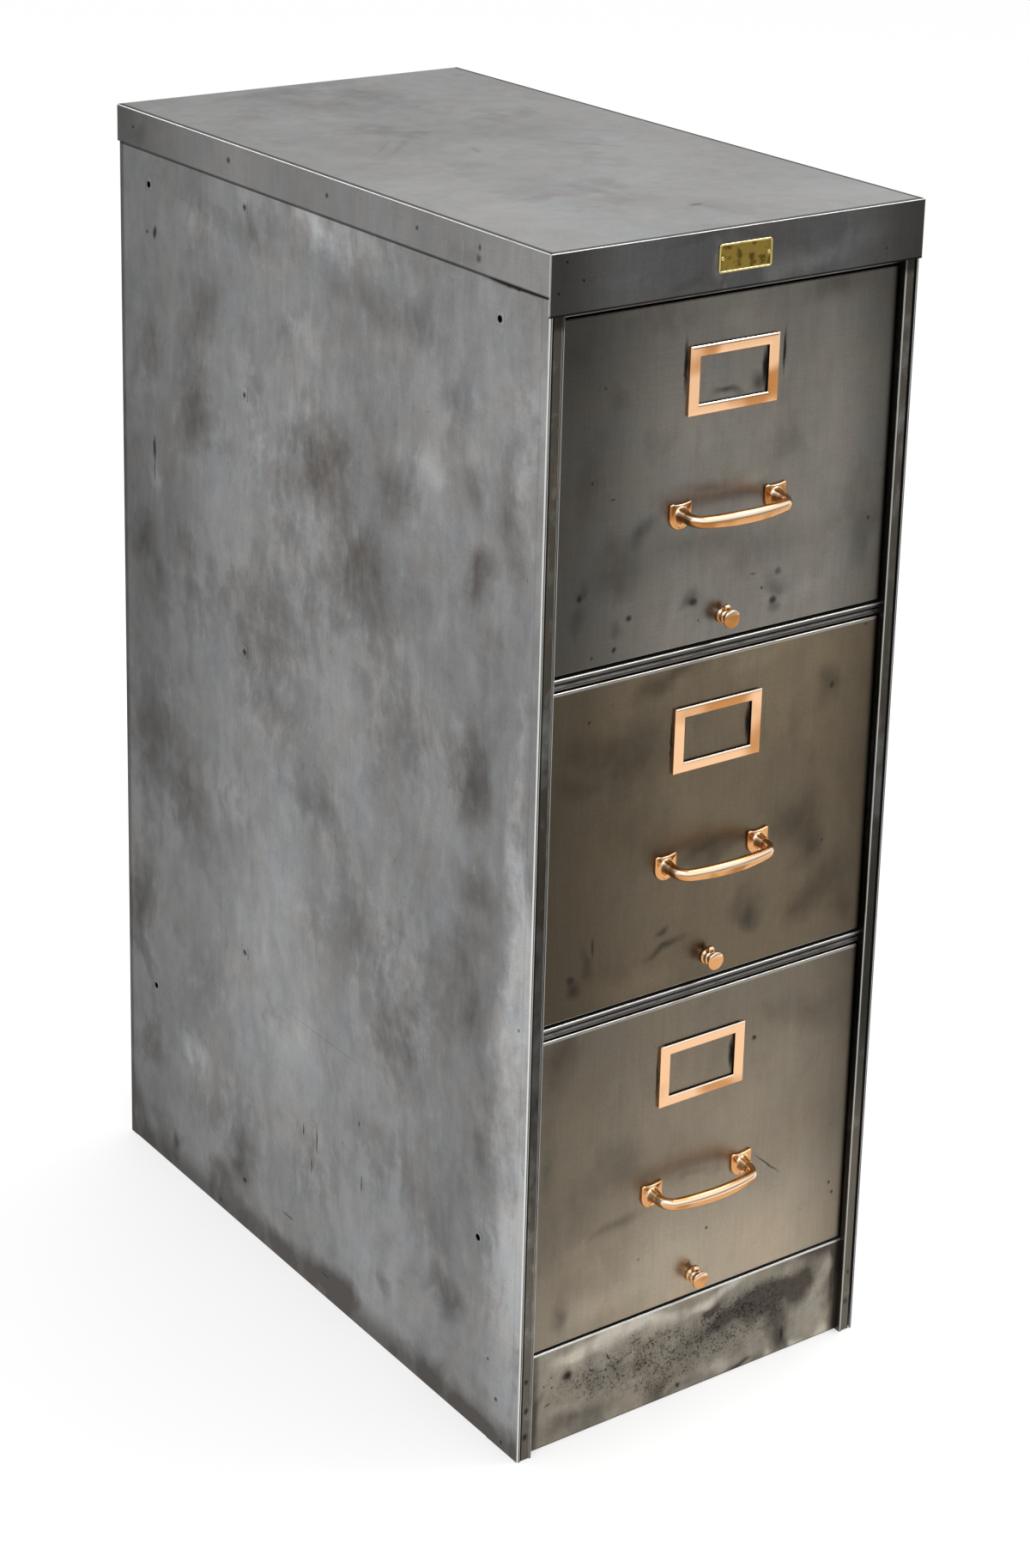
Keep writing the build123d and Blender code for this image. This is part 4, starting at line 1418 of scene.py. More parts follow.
@dataclass(frozen=True)
class Pull:
    """Bow pull: a bar of oval section, thickest in its middle, on two shield-shaped feet with screws.

    Attributes:
        half_span: half the distance between the legs.
        rise: height of the legs over the drawer front's lower edge.
        leg: length of a leg.
        bend: radius of the bends between the legs and the bow.
        bow_angle: heading of the bow where it starts.
        droop: how far the pull leans down.
        tall: half the bar's height near its feet and what its middle adds, in millimetres.
        thick: half its thickness near its feet and what its middle adds, in millimetres.
        foot: thickness of the feet.
        half: half a foot's width.
        top: from the leg's axis up to a foot's top.
        dip: how much lower its two upper corners are.
        bottom: from the leg's axis down to its lowest point.
        corner: length of the corners' points.
        root: radius of the boss where it meets the foot.
        screw_head: radius of a screw's head.
        screw_shank: radius of its shank.
    """

    half_span: float = 49.5 * MM
    rise: float = 115 * MM
    leg: float = 10 * MM
    bend: float = 12 * MM
    bow_angle: float = radians(13.7)
    droop: float = radians(4.0)
    tall: tuple[float, float] = (5.1, 1.0)
    thick: tuple[float, float] = (4.5, 0.25)
    foot: float = 2.4 * MM
    half: float = 11 * MM
    top: float = 10.6 * MM
    dip: float = 1.6 * MM
    bottom: float = 12.6 * MM
    corner: float = 1.3 * MM
    root: float = 7.0 * MM
    screw_head: float = 2.2 * MM
    screw_shank: float = 1.5 * MM

    def bow(self) -> tuple[Array, Array, Array, Array]:
        """The pull's line in plan, from one foot to the other.

        Its heading turns at 1 / radius for each unit of length along the legs, bends and long bow, and the
        line is the sum of the headings.

        Returns:
            Places along the pull, distances out from its feet, headings, and each point's share of the way
            from the middle to a foot.
        """
        leg, bend, angle, pieces = self.leg, self.bend, self.bow_angle, 1600
        side = self.half_span - bend * (1 - sin(angle))
        lengths = [leg, bend * (pi / 2 - angle), 2 * angle * side / sin(angle), bend * (pi / 2 - angle), leg]
        ends = np.concatenate([[0], np.cumsum(lengths)])
        fine = np.linspace(0, ends[-1], pieces + 1)
        heading = np.interp(fine, ends, [pi / 2, pi / 2, angle, -angle, -pi / 2, -pi / 2])
        x, out = (np.concatenate([[0], np.cumsum((part[1:] + part[:-1]) / 2)]) * (fine[1] - fine[0])
                  for part in (np.cos(heading), np.sin(heading)))
        chosen = np.round(np.linspace(0, pieces, 97)).astype(int)
        return x[chosen] - self.half_span, out[chosen], heading[chosen], abs(fine[chosen] / ends[-1] * 2 - 1)

    def skin(self, face_y: float, height: float) -> Skin:
        """The bar, whose ovals are carried along the bow's line and lean down, and its feet.

        Args:
            face_y: place of the drawer's face.
            height: height of the legs.

        Returns:
            The skin, in place.
        """
        steps, root = 32, face_y - self.foot
        x, out, heading, share = self.bow()
        swell = np.cos(np.clip((share - 0.10) / 0.62, 0, 1) * pi) / 2 + 0.5
        tall, thick = ((least + more * swell) * MM for least, more in (self.tall, self.thick))
        around = np.linspace(0, 2 * pi, steps, endpoint=False)
        reach = thick[:, None] * np.cos(around)
        above = tall[:, None] * np.sin(around)
        plan_x = x[:, None] - np.sin(heading)[:, None] * reach
        plan_out = out[:, None] + np.cos(heading)[:, None] * reach
        bar = np.stack([plan_x, root - plan_out * cos(self.droop),
                        height + above - plan_out * sin(self.droop)], axis=-1)
        skin = Skin()
        skin.grid(np.concatenate([pole(bar[:1]), bar, pole(bar[-1:])]), wrap=True)
        for place in (-self.half_span, self.half_span):
            skin.add(self.shield().moved(facing_front(place, face_y, height)))
        return skin

    def shield(self) -> Skin:
        """One foot: a shield with two pointed upper corners and a rounded edge, under a cone.

        Returns:
            The rings from the middle of its back, over its edge, to the cone's tip.
        """
        half, top, bottom = self.half, self.top, self.bottom
        crown = np.linspace(1, -1, 13)[:-1]
        upper = np.column_stack([(half - 0.9 * MM) * crown, top - self.dip * (1 - crown ** 2)])
        left = np.column_stack([np.full(6, -half), np.linspace(top - self.corner, half - bottom, 7)[:-1]])
        angle = np.radians(np.linspace(180, 360, 25))
        lower = np.column_stack([half * np.cos(angle), half - bottom + half * np.sin(angle)])
        right = np.column_stack([np.full(6, half), np.linspace(half - bottom, top - self.corner, 7)[1:]])
        outline = np.vstack([upper, left, lower, right])
        middle = np.array([0.0, -0.6 * MM])
        rings = [level(middle + (outline - middle) * share, height * self.foot)
                 for share, height in ((1.0, 0.0), (1.0, 0.45), (0.99, 0.68), (0.965, 0.88), (0.93, 0.97))]
        rim = rings[-1][:, :2]
        way = outline / np.linalg.norm(outline, axis=1, keepdims=True)
        rings += [level(rim + (way * self.root - rim) * share, self.foot + 0.5 * MM * share ** 2)
                  for share in (0.06, 0.25, 0.5, 0.75, 0.94)]
        rings += [level(way * radius * MM, self.foot + height * MM) for radius, height in (
            (6.8, 0.8), (6.4, 1.6), (6.0, 2.8), (5.7, 4.2), (5.45, 5.6), (5.2, 6.8), (4.9, 8.2))]
        skin = Skin()
        skin.grid(np.stack([rings[0] * 0, *rings, rings[-1] * (0, 0, 1)]), wrap=True)
        return skin

    def screws(self, face_y: float, height: float, front: float, tail: float) -> Skin:
        """The two round-headed screws near the feet's lower ends.

        Args:
            face_y: place of the drawer's face.
            height: the screws' height.
            front: how far their heads stand out of the face.
            tail: how far their shanks reach behind it.

        Returns:
            The skin, in place.
        """
        head, shank = self.screw_head, self.screw_shank
        profile = [(0, -tail), (shank, -tail), (shank, self.foot), (head, self.foot),
                   (head * 0.95, self.foot + 0.5 * MM), (head * 0.5, front), (0, front)]
        skin = Skin()
        for side in (-1, 1):
            place = facing_front(side * self.half_span, face_y, height)
            skin.add(turned(profile, 0.4 * MM, 24).moved(place))
        return skin


@dataclass(frozen=True)
class RodFittings:
    """What is turned about a guide rod's axis in front: its collar and knob, with the catch above them.

    Attributes:
        bore: radius of the collar's and the knob's bore.
        shank: radius of the collar inside the drawer.
        flange: radius of the collar's flange.
        ball: radius of the catch's ball.
        pin: radius of the catch's pin.
        ball_up: height of the ball's middle over the rod's axis.
    """

    bore: float = 3.55 * MM
    shank: float = 5.0 * MM
    flange: float = 7.0 * MM
    ball: float = 3.2 * MM
    pin: float = 1.2 * MM
    ball_up: float = 8.0 * MM

    def collar(self, tail: float) -> Skin:
        """The grooved collar that the rod runs in.

        Args:
            tail: how far it reaches behind the drawer's face.

        Returns:
            The skin, about the rod's axis.
        """
        bore, shank, flange, front = self.bore, self.shank, self.flange, 7.8 * MM
        profile = [(bore, -tail), (shank, -tail), (shank, 0), (flange, 0), (flange, 2.2 * MM),
                   (5.6 * MM, 3.4 * MM), (6.3 * MM, 4.4 * MM), (6.3 * MM, 6.6 * MM), (5.1 * MM, front),
                   (bore, front), (bore, -tail)]
        return turned(profile, 0.7 * MM)

    def knob(self, back: float, front: float, half: float) -> Skin:
        """The mushroom knob, whose socket ends in a flat disc.

        Args:
            back: distance of its back from the drawer's face.
            front: distance of its front from it.
            half: half its width.

        Returns:
            The skin, about the rod's axis.
        """
        head, rim = half - 0.6 * MM, back + 2.9 * MM
        dome = np.radians(np.linspace(8, 90, 9))
        profile = [(self.bore, back + 3.0 * MM), (self.bore, back), (4.4 * MM, back),
                   (4.7 * MM, back + 0.7 * MM), (head - 0.7 * MM, back + 1.5 * MM), (head, back + 2.2 * MM),
                   *zip(head * np.cos(dome), rim + (front - rim) * np.sin(dome))]
        grid = revolved(bent_line(profile, 0.6 * MM))
        skin = Skin()
        for part in (grid, np.concatenate([pole(grid[:1]), grid[:1]])):
            skin.grid(part, wrap=True)
        return skin

    def catch(self, foot: float, axis: float, x: float, y: float) -> Skin:
        """The catch's pin with its ball, a circle of radius r * sin(t) at a height of r * cos(t).

        Args:
            foot: height of the pin's foot.
            axis: height of the rod's axis.
            x: place of the pin across.
            y: its place in depth.

        Returns:
            The skin, in place.
        """
        centre = axis + self.ball_up
        polar = np.radians(np.linspace(0, 155, 24))[::-1]
        line = np.array([(0.0, foot), (self.pin, foot),
                         *zip(self.ball * np.sin(polar), centre + self.ball * np.cos(polar))])
        skin = Skin()
        skin.grid(revolved(line, 32) + (x, y, 0), wrap=True)
        return skin


@dataclass
class Drawer:
    """One drawer's front with its label holder, pull, and guide-rod fittings.

    Attributes:
        name: lower, middle or upper.
        front: steel of the drawer's front.
        copper: metal of the pull, the collar, the knob and the catch.
        pale: metal of the label holder.
        fold: radius of the front's folds.
        sheet: its thickness.
        step: widest gap between lines on its face.
        label: the label holder.
        pull: the pull.
        rod: the guide rod's fittings.
    """

    name: str
    front: bpy.types.Material
    copper: bpy.types.Material
    pale: bpy.types.Material
    fold: float = 1.5 * MM
    sheet: float = 1.2 * MM
    step: float = 8 * MM
    label: LabelHolder = LabelHolder()
    pull: Pull = Pull()
    rod: RodFittings = RodFittings()

    def build(self) -> None:
        """Build the front and everything on it."""
        face_y, floor_z = self.front_sheet()
        low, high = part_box(f"{self.name}_label_holder")
        skin = self.label.skin((high.x - low.x) / 2, (high.z - low.z) / 2)
        self.fitting("label_frame", skin.moved(facing_front(0, face_y, (high.z + low.z) / 2)), "label_holder",
                     metal=self.pale)
        self.fitting("bow_pull", self.pull.skin(face_y, floor_z + self.pull.rise), "pull")
        low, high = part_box(f"{self.name}_pull_screws")
        screws = self.pull.screws(face_y, (low.z + high.z) / 2, face_y - low.y, high.y - face_y)
        self.fitting("pull_screw_heads", screws, "pull_screws")
        self.rod_fittings(face_y)

    def front_sheet(self) -> tuple[float, float]:
        """The folded pan that shows.

        Returns:
            The place of its face and the height of its lower edge.
        """
        node = f"{self.name}_drawer_front"
        low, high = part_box(node)
        waves = Waviness(0.45 * MM, 0.16, 40 + DRAWERS.index(self.name))
        pan = Pan((low.x, low.z), (high.x, high.z), self.fold, high.y - low.y, self.step, waves)
        skin = pan.skin().moved(lambda points: np.stack([points[:, 0], low.y + points[:, 2], points[:, 1]], -1))
        make_piece(f"{self.name}_front_sheet", skin, self.front, f"{self.name}_drawer", [node],
                   self.sheet, (0, -1, 0))
        return low.y, low.z

    def rod_fittings(self, face_y: float) -> None:
        """The collar, the knob and the catch.

        Args:
            face_y: place of the drawer's face.
        """
        low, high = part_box(f"{self.name}_rod_collar")
        axis = (low.z + high.z) / 2
        place = facing_front(0, face_y, axis)
        self.fitting("collar_turned", self.rod.collar(high.y - face_y).moved(place), "rod_collar")
        low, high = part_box(f"{self.name}_rod_knob")
        knob = self.rod.knob(face_y - high.y, face_y - low.y, (high.x - low.x) / 2)
        self.fitting("knob_turned", knob.moved(place), "rod_knob", "rod")
        low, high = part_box(f"{self.name}_rod_catch")
        middle = (low + high) / 2
        catch = self.rod.catch(low.z - 0.6 * MM, axis, middle.x, middle.y)
        self.fitting("catch_ball", catch, "rod_catch", "catch")

    def fitting(self, name: str, skin: Skin, part: str, body: str = "drawer",
                metal: bpy.types.Material | None = None) -> None:
        """Put one of the drawer's fittings into the scene.

        Args:
            name: the piece's name without the drawer's.
            skin: its surface.
            part: the node that it stands for, without the drawer's name.
            body: the body that it rides on, without the drawer's name.
            metal: its metal, or None for the copper.
        """
        make_piece(f"{self.name}_{name}", skin, metal or self.copper, f"{self.name}_{body}",
                   [f"{self.name}_{part}"])


# Inner works


def dress_nodes(finish: bpy.types.Material, names: Sequence[str]) -> None:
    """Give nodes of the frame that stay as they are their finish.

    Args:
        finish: the material.
        names: the nodes.
    """
    for name in names:
        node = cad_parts[name]
        node.data.materials.clear()
        node.data.materials.append(finish)
        log.info("%s: dressed", name)


# Steel of this cabinet, with every mark, painted shade and painted highlight in its place

SIDE_MARKS = (
    marks(Kind.STAIN,
        (200, 898, 52, 50, 0.55), (204, 793, 48, 66, 0.75), (306, 839, 34, 60, 0.55), (166, 979, 40, 28, 0.25),
        (103, 986, 46, 40, 0.5), (314, 652, 44, 46, 0.8), (276, 606, 46, 58, 0.5), (209, 600, 36, 50, 0.4),
        (-5, 806, 80, 74, 1), (-61, 964, 80, 30, 0.3), (-154, 969, 56, 26, 0.4), (54, 768, 44, 100, 0.45),
        (-125, 811, 58, 46, 0.5), (-213, 901, 34, 38, 0.5), (-236, 848, 30, 44, 0.5), (-238, 774, 32, 30, 0.75),
        (-54, 712, 124, 80, 0.7), (304, 440, 50, 130, 0.75), (228, 408, 60, 100, 0.8), (314, 262, 48, 94, 1),
        (299, 128, 40, 62, 0.6), (263, 36, 36, 42, 0.6), (330, 31, 32, 46, 0.8), (128, 50, 28, 24, 0.8),
        (163, 20, 66, 30, 0.8), (-54, 12, 58, 32, 0.9), (-264, 1, 50, 22, 0.8), (-245, 504, 36, 34, 0.65),
        (-228, 437, 48, 66, 0.35), (-64, 391, 104, 72, 0.45), (-167, 372, 110, 96, 0.5), (-1, 479, 78, 48, 0.5),
        (-196, 99, 36, 40, 0.75), (-187, 160, 50, 46, 0.4), (-261, 273, 28, 44, 0.2), (110, 590, 60, 110, 0.35),
        (-120, 610, 90, 80, 0.35), (200, 230, 60, 60, 0.25), (229, 668, 48, 30, 0.45), (73, 894, 38, 36, 0.3),
        (-250, 380, 34, 56, 0.4), (120, 79, 44, 28, 0.4), (-130, 74, 46, 42, 0.5), (60, 560, 60, 60, 0.3),
        (215, 850, 44, 60, 0.35), (-222, 600, 54, 70, 0.9), (-285, 830, 34, 80, 0.55), (-130, 300, 54, 74, 0.7),
        (150, 90, 90, 60, 0.35), (0, 140, 80, 60, 0.3), (-110, 190, 70, 60, 0.3), (100, 645, 190, 70, 0.4),
        (262, 470, 40, 120, 0.35), (-20, 24, 90, 26, 0.4), (70, 30, 60, 24, 0.45), (-200, 14, 60, 20, 0.4))
    + marks(Kind.RUBBED,
        (110, 821, 30, 100, 0.35), (-173, 847, 38, 26, 0.5), (-300, 860, 26, 240, 0.2),
        (-60, 1010, 160, 20, 0.25), (0, 1006, 66, 36, 0.9), (206, 976, 50, 30, 0.5), (292, 716, 30, 30, 0.5),
        (40, 905, 60, 30, 0.3), (220, 144, 42, 40, 0.9), (144, 443, 58, 48, 0.35), (-322, 250, 84, 300, 0.95),
        (-303, 460, 36, 160, 1.2), (-300, 600, 26, 160, 0.4), (45, 251, 70, 46, 0.25))
    + marks(Kind.SPOT,
        (125, 1004, 4.5, 4.5, 0.9), (125, 834, 4, 4, 0.85), (125, 591, 4.5, 4.5, 0.9),
        (125, 291, 4.5, 4.5, 0.9), (125, 51, 4.5, 4.5, 0.9), (283, 949, 4.5, 9.5, 1, 12), (297, 947, 3, 3, 0.8),
        (287, 742, 3.6, 16, 1), (287, 720, 1.6, 16, 0.8), (21, 155, 1.6, 9, 0.9), (-2, 154, 1.8, 16, 0.9),
        (7, 124, 1.6, 11, 0.8), (-77, 147, 1.5, 12, 0.8), (-72, 205, 2, 4, 0.7), (47, 52, 15, 1.5, 0.7),
        (-19, 23, 9, 1.5, 0.6), (-289, 44, 3, 3, 0.9), (-276, 77, 2.5, 2.5, 0.8), (-298, 7, 3, 3, 0.8),
        # (-286, 1021) is a painted shadow under the front of the cap's skirt.
        (-308, 402, 2.5, 2.5, 0.7), (-286, 1021, 62, 2.6, 1, -1.2), (256, 30, 8, 12, 0.5),
        (-8, 263, 104, 0.9, 0.25), (170, 8, 4, 4, 0.5))
)

TOP_MARKS = (
    marks(Kind.STAIN,
        (-74.5, 71.5, 72, 7, 0.4, 41), (-29.5, 5.5, 34, 6, 0.45, 73), (82.5, -14.5, 72, 6, 0.4, -54),
        (49, 271, 56, 62, 0.55), (-120, 240, 50, 60, 0.3), (100, 150, 50, 70, 0.25), (-60, -150, 60, 50, 0.2))
    + marks(Kind.SPOT,
        (318.7, 1041, 3, 3, 0.8), (149.2, 1041, 4, 4, 0.85), (-10.3, 1041, 3.5, 3.5, 0.8),
        (-144.3, 1041, 3, 3, 0.8), (-230.8, 1043, 3, 4, 0.7), (-230, 1034, 5, 5, 0.6), face=Face.SIDE)
    + marks(Kind.SPOT,
        (-175, 1049, 1.6, 1.6, 0.9), (-159, 1033, 1.6, 1.6, 0.9), (-182.5, 1025, 1.4, 1.4, 0.9),
        (150, 1020, 1.4, 1.4, 0.6), (60, 1012, 1.2, 1.2, 0.5), face=Face.FRONT)
    + marks(Kind.RUBBED,
        (-33, 1026, 8, 26, 0.9), (-120, 1040, 40, 12, 0.2), (90, 1024, 80, 20, 0.6), (44, 1024, 50, 24, 0.9),
        (-25, 1010, 4, 6, 0.8), face=Face.FRONT)
    + marks(Kind.STAIN, (-20, 1050, 120, 8, 0.35), (-60, 1012, 60, 8, 0.3), face=Face.FRONT)
    + marks(Kind.STAIN,
        (318, 1040, 20, 18, 0.5), (-200, 1030, 60, 10, 0.25), (120, 1046, 40, 8, 0.25), face=Face.SIDE)
    + marks(Kind.SPOT,
        (11.5, -246, 11, 5, 0.5), (46.5, 204, 6, 1.6, 0.6), (-20, 20, 20, 1, 0.25, 70),
        (-90, 60, 40, 1, 0.25, 44), (95, -32, 30, 1, 0.25, -50), (-150, 120, 2, 2, 0.4), (120, 60, 2, 2, 0.4))
)

FRONT_MARKS = {
    "upper": (
        marks(Kind.STAIN,
            (27, 930, 12, 14, 0.9), (-2, 923, 22, 6, 0.9), (-24, 843, 34, 8, 0.35),
            # (-80, 808) is a painted shadow of the pull's left foot.
            (-80, 808, 34, 14, 0.55, 12), (-31, 746, 14, 12, 0.7), (58, 756, 22, 18, 0.6),
            (54, 732, 15, 12, 0.6), (-99, 745, 12, 9, 0.5), (-147, 771, 10, 10, 0.5), (-75, 893, 26, 24, 0.35),
            (-126, 941, 20, 22, 0.3), (-143, 978, 28, 15, 0.15), (55, 872, 28, 24, 0.3),
            (-150, 745, 24, 26, 0.5), (0, 790, 170, 34, 0.4), (-140, 860, 30, 60, 0.25),
            (130, 800, 40, 60, 0.25), (-112, 786, 44, 40, 0.4), (152, 772, 22, 40, 0.35),
            (112, 988, 66, 26, 0.6), (-72, 988, 56, 22, 0.4))
        + marks(Kind.RUBBED,
            (30, 846, 24, 12, 0.5), (60, 880, 50, 40, 0.25), (12, 985, 34, 18, 0.4), (-40, 742, 70, 22, 0.25),
            (95, 745, 60, 24, 0.3), (-30, 880, 24, 30, 0.25))
        + marks(Kind.SPOT,
            # (-48.6, 948) is a painted shadow at the label frame's left edge.
            (-48.6, 948, 3, 30, 0.95), (53, 946, 2.2, 25, 0.95), (-31, 746, 6, 5, 0.7), (58, 757, 5, 5, 0.5),
            (54, 732, 6, 5, 0.8), (-97, 745, 4.5, 4, 0.8), (-147, 771, 3.5, 4.5, 0.8), (41, 745, 2.4, 2.4, 0.6),
            (31, 759, 5, 1.2, 0.6), (-138, 865, 2, 2, 0.7), (-117, 848, 4, 1.4, 0.6), (-128, 941, 2, 2, 0.5),
            # (33.4, 935) is a painted shadow inside the label frame's window, along its right side.
            (-25, 729, 1.8, 1.8, 0.6), (33.4, 935, 4.2, 21, 0.95), (-111, 721, 3, 3, 0.8),
            (-133, 718, 2, 2, 0.7), (155, 786, 2.5, 3, 0.6))
    ),
    "middle": (
        marks(Kind.STAIN,
            (91, 526, 42, 46, 0.65), (101, 500, 26, 22, 0.6), (48, 454, 24, 17, 0.6), (110, 455, 56, 28, 0.4),
            # (2, 524) is a painted shadow of the pull.
            (146, 434, 15, 24, 0.5), (2, 524, 50, 12, 0.6), (-32, 460, 10, 6, 0.8), (-31, 443, 28, 7, 0.85, 10),
            (-129, 644, 42, 24, 0.4), (-140, 610, 36, 24, 0.35), (125, 642, 20, 24, 0.55),
            (-144, 438, 17, 16, 0.8), (-126, 455, 10, 24, 0.5, 30), (-80, 560, 60, 50, 0.25),
            (-88, 632, 54, 74, 0.65), (44, 464, 44, 26, 0.5), (116, 466, 44, 40, 0.4), (-52, 684, 54, 18, 0.7))
        + marks(Kind.RUBBED,
            (10, 672, 70, 22, 0.35), (90, 600, 30, 50, 0.3), (-80, 420, 70, 26, 0.7), (50, 682, 60, 16, 0.5))
        + marks(Kind.SPOT,
            (-122, 462, 2.4, 13, 0.6), (-144, 438, 6, 6, 0.6), (125, 642, 4, 4.5, 0.6),
            # (33.4, 628) is a painted shadow inside the label frame's window, and (-47.6, 628) one at the
            # frame's left edge.
            (-133, 663, 2.4, 2.4, 0.7), (124, 499, 2, 2, 0.6), (33.4, 628, 4.2, 21, 0.95),
            (-47.6, 628, 1.5, 32, 0.9), (160, 690, 2, 2, 0.6))
    ),
    "lower": (
        marks(Kind.STAIN,
            # (-80, 186) is a painted shadow of the pull's left foot.
            (-146, 128, 18, 26, 0.6), (-80, 186, 34, 12, 0.45, 24), (-90, 250, 30, 44, 0.25),
            (110, 340, 60, 34, 0.35), (-150, 350, 40, 44, 0.4), (0, 218, 50, 10, 0.35), (60, 205, 60, 26, 0.2),
            (-160, 285, 22, 56, 0.5), (-150, 378, 34, 30, 0.5))
        + marks(Kind.RUBBED,
            (-110, 116, 60, 22, 0.7), (-122, 168, 44, 30, 0.6), (40, 250, 60, 40, 0.2), (-20, 150, 60, 30, 0.25))
        + marks(Kind.SPOT,
            # (33.4, 321) is a painted shadow inside the label frame's window, and (-47.6, 321) one at the
            # frame's left edge.
            (33.4, 321, 4.2, 21, 0.95), (-47.6, 321, 1.5, 32, 0.9), (58.6, 329, 3.5, 3.5, 0.85),
            (81.5, 199, 27, 1.3, 0.7, -41), (15, 157, 2.5, 2.5, 0.7), (156, 157, 2.5, 2.5, 0.8),
            (160, 146, 2.5, 2.5, 0.8), (-60, 150, 2, 2, 0.4))
    ),
}

POST_MARKS = (
    marks(Kind.SPOT,
        (-181, 76, 3, 4, 0.8), (-180.5, 48, 4, 5, 0.8), (-181, 22, 4, 5, 0.8), (181, 60, 3, 4, 0.6),
        (180, 30, 4, 5, 0.6))
)

KICK_MARKS = (
    marks(Kind.STAIN,
        (108, 44, 56, 30, 0.35), (-128, 14, 52, 15, 0.75), (-20, 8, 50, 9, 0.5), (60, 6, 50, 12, 0.5),
        (-133, 62, 14, 12, 0.7), (20, 46, 70, 22, 0.2), (-75, 46, 60, 20, 0.4), (114, 20, 26, 26, 1.1),
        (38, 70, 20, 10, 1.1), (84, 48, 80, 22, 1.1), (134, 50, 22, 24, 0.9), (148, 80, 50, 26, 1.2),
        (-36, 18, 26, 18, 0.7), (54, 9, 22, 4, 0.8), (41, 72, 28, 8, 0.5), (166, 60, 10, 50, 0.8),
        (-166, 40, 6, 40, 0.4))
    + marks(Kind.SPOT,
        (-133, 62, 7, 6, 0.8), (-90, 66, 1.2, 6, 0.8, 30), (-60, 70, 10, 1.2, 0.6, 8),
        (-158, 60, 1.5, 1.5, 0.8), (-150, 66, 1.4, 1.4, 0.8), (-149, 56, 1.6, 1.6, 0.8),
        (-154, 40, 5, 1.4, 0.8, 20), (-10, 8, 3.4, 3.4, 0.8), (109, 18, 2.6, 11, 0.8))
    + marks(Kind.RUBBED,
        (-135, 82, 40, 12, 0.8), (-70, 82, 90, 14, 1.2), (40, 86, 80, 11, 1.2), (-140, 20, 16, 14, 0.4),
        (-140, 74, 40, 16, 0.4), (92, 10, 12, 9, 0.9), (134, 13, 15, 9, 1.4), (163, 13, 14, 13, 1.6),
        (30, 14, 30, 8, 0.5))
)


@dataclass(frozen=True)
class FrontLook:
    """What differs from one drawer front to the next.

    Attributes:
        tone: its middle tone.
        edges: painted reflection and shade towards its left, right, top and bottom edges, as factors of
            brightness.
        fold_wear_and_highlight: how bright its folds are, as worn bare metal and as painted highlight.
        rim: how bright the painted highlight on worn metal under its top fold is.
    """

    tone: Tone
    edges: tuple[float, float, float, float]
    fold_wear_and_highlight: float = 0.95
    rim: float = 0.25

    def steel(self, name: str) -> SheetSteel:
        """The steel of one drawer's front.

        Args:
            name: lower, middle or upper.

        Returns:
            The finish, with its shades and lines where the drawer is.
        """
        left, right, top, bottom = self.edges
        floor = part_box(f"{name}_drawer_front")[0].z / MM
        return SheetSteel(
            f"{name}_front_steel", Face.FRONT, plain=self.tone,
            stain=tuple(int(0.62 * part) for part in self.tone),
            rubbed=tuple(int(1.14 * part) for part in self.tone), clouds=0.35, fold_wear_and_highlight=self.fold_wear_and_highlight,
            seed=6.0 + DRAWERS.index(name), marks=FRONT_MARKS[name],
            # Painted shade in the gaps beside the posts, and a painted highlight under the top fold.
            bands=(Band(Kind.SPOT, 0, 170.5, 173, 1.5, 0.55, True, facing=1),
                   Band(Kind.BRIGHT, 2, floor + 289.6, floor + 290.6, 0.5, self.rim, facing=1)),
            # Painted reflection and shade, changing towards each edge.
            shades=(Shade(0, -170, -20, left, 1.0), Shade(0, 172, 100, right, 1.0),
                    Shade(2, floor + 285, floor + 170, top, 1.0),
                    Shade(2, floor + 10, floor + 140, bottom, 1.0)),
        )


FRONT_LOOKS = {
    "lower": FrontLook((126, 116, 101), (0.62, 0.56, 0.74, 1.70)),
    "middle": FrontLook((102, 91, 75), (0.44, 0.60, 1.12, 0.95)),
    "upper": FrontLook((121, 117, 110), (0.29, 0.50, 0.74, 1.02), fold_wear_and_highlight=0.15, rim=0.0),
}


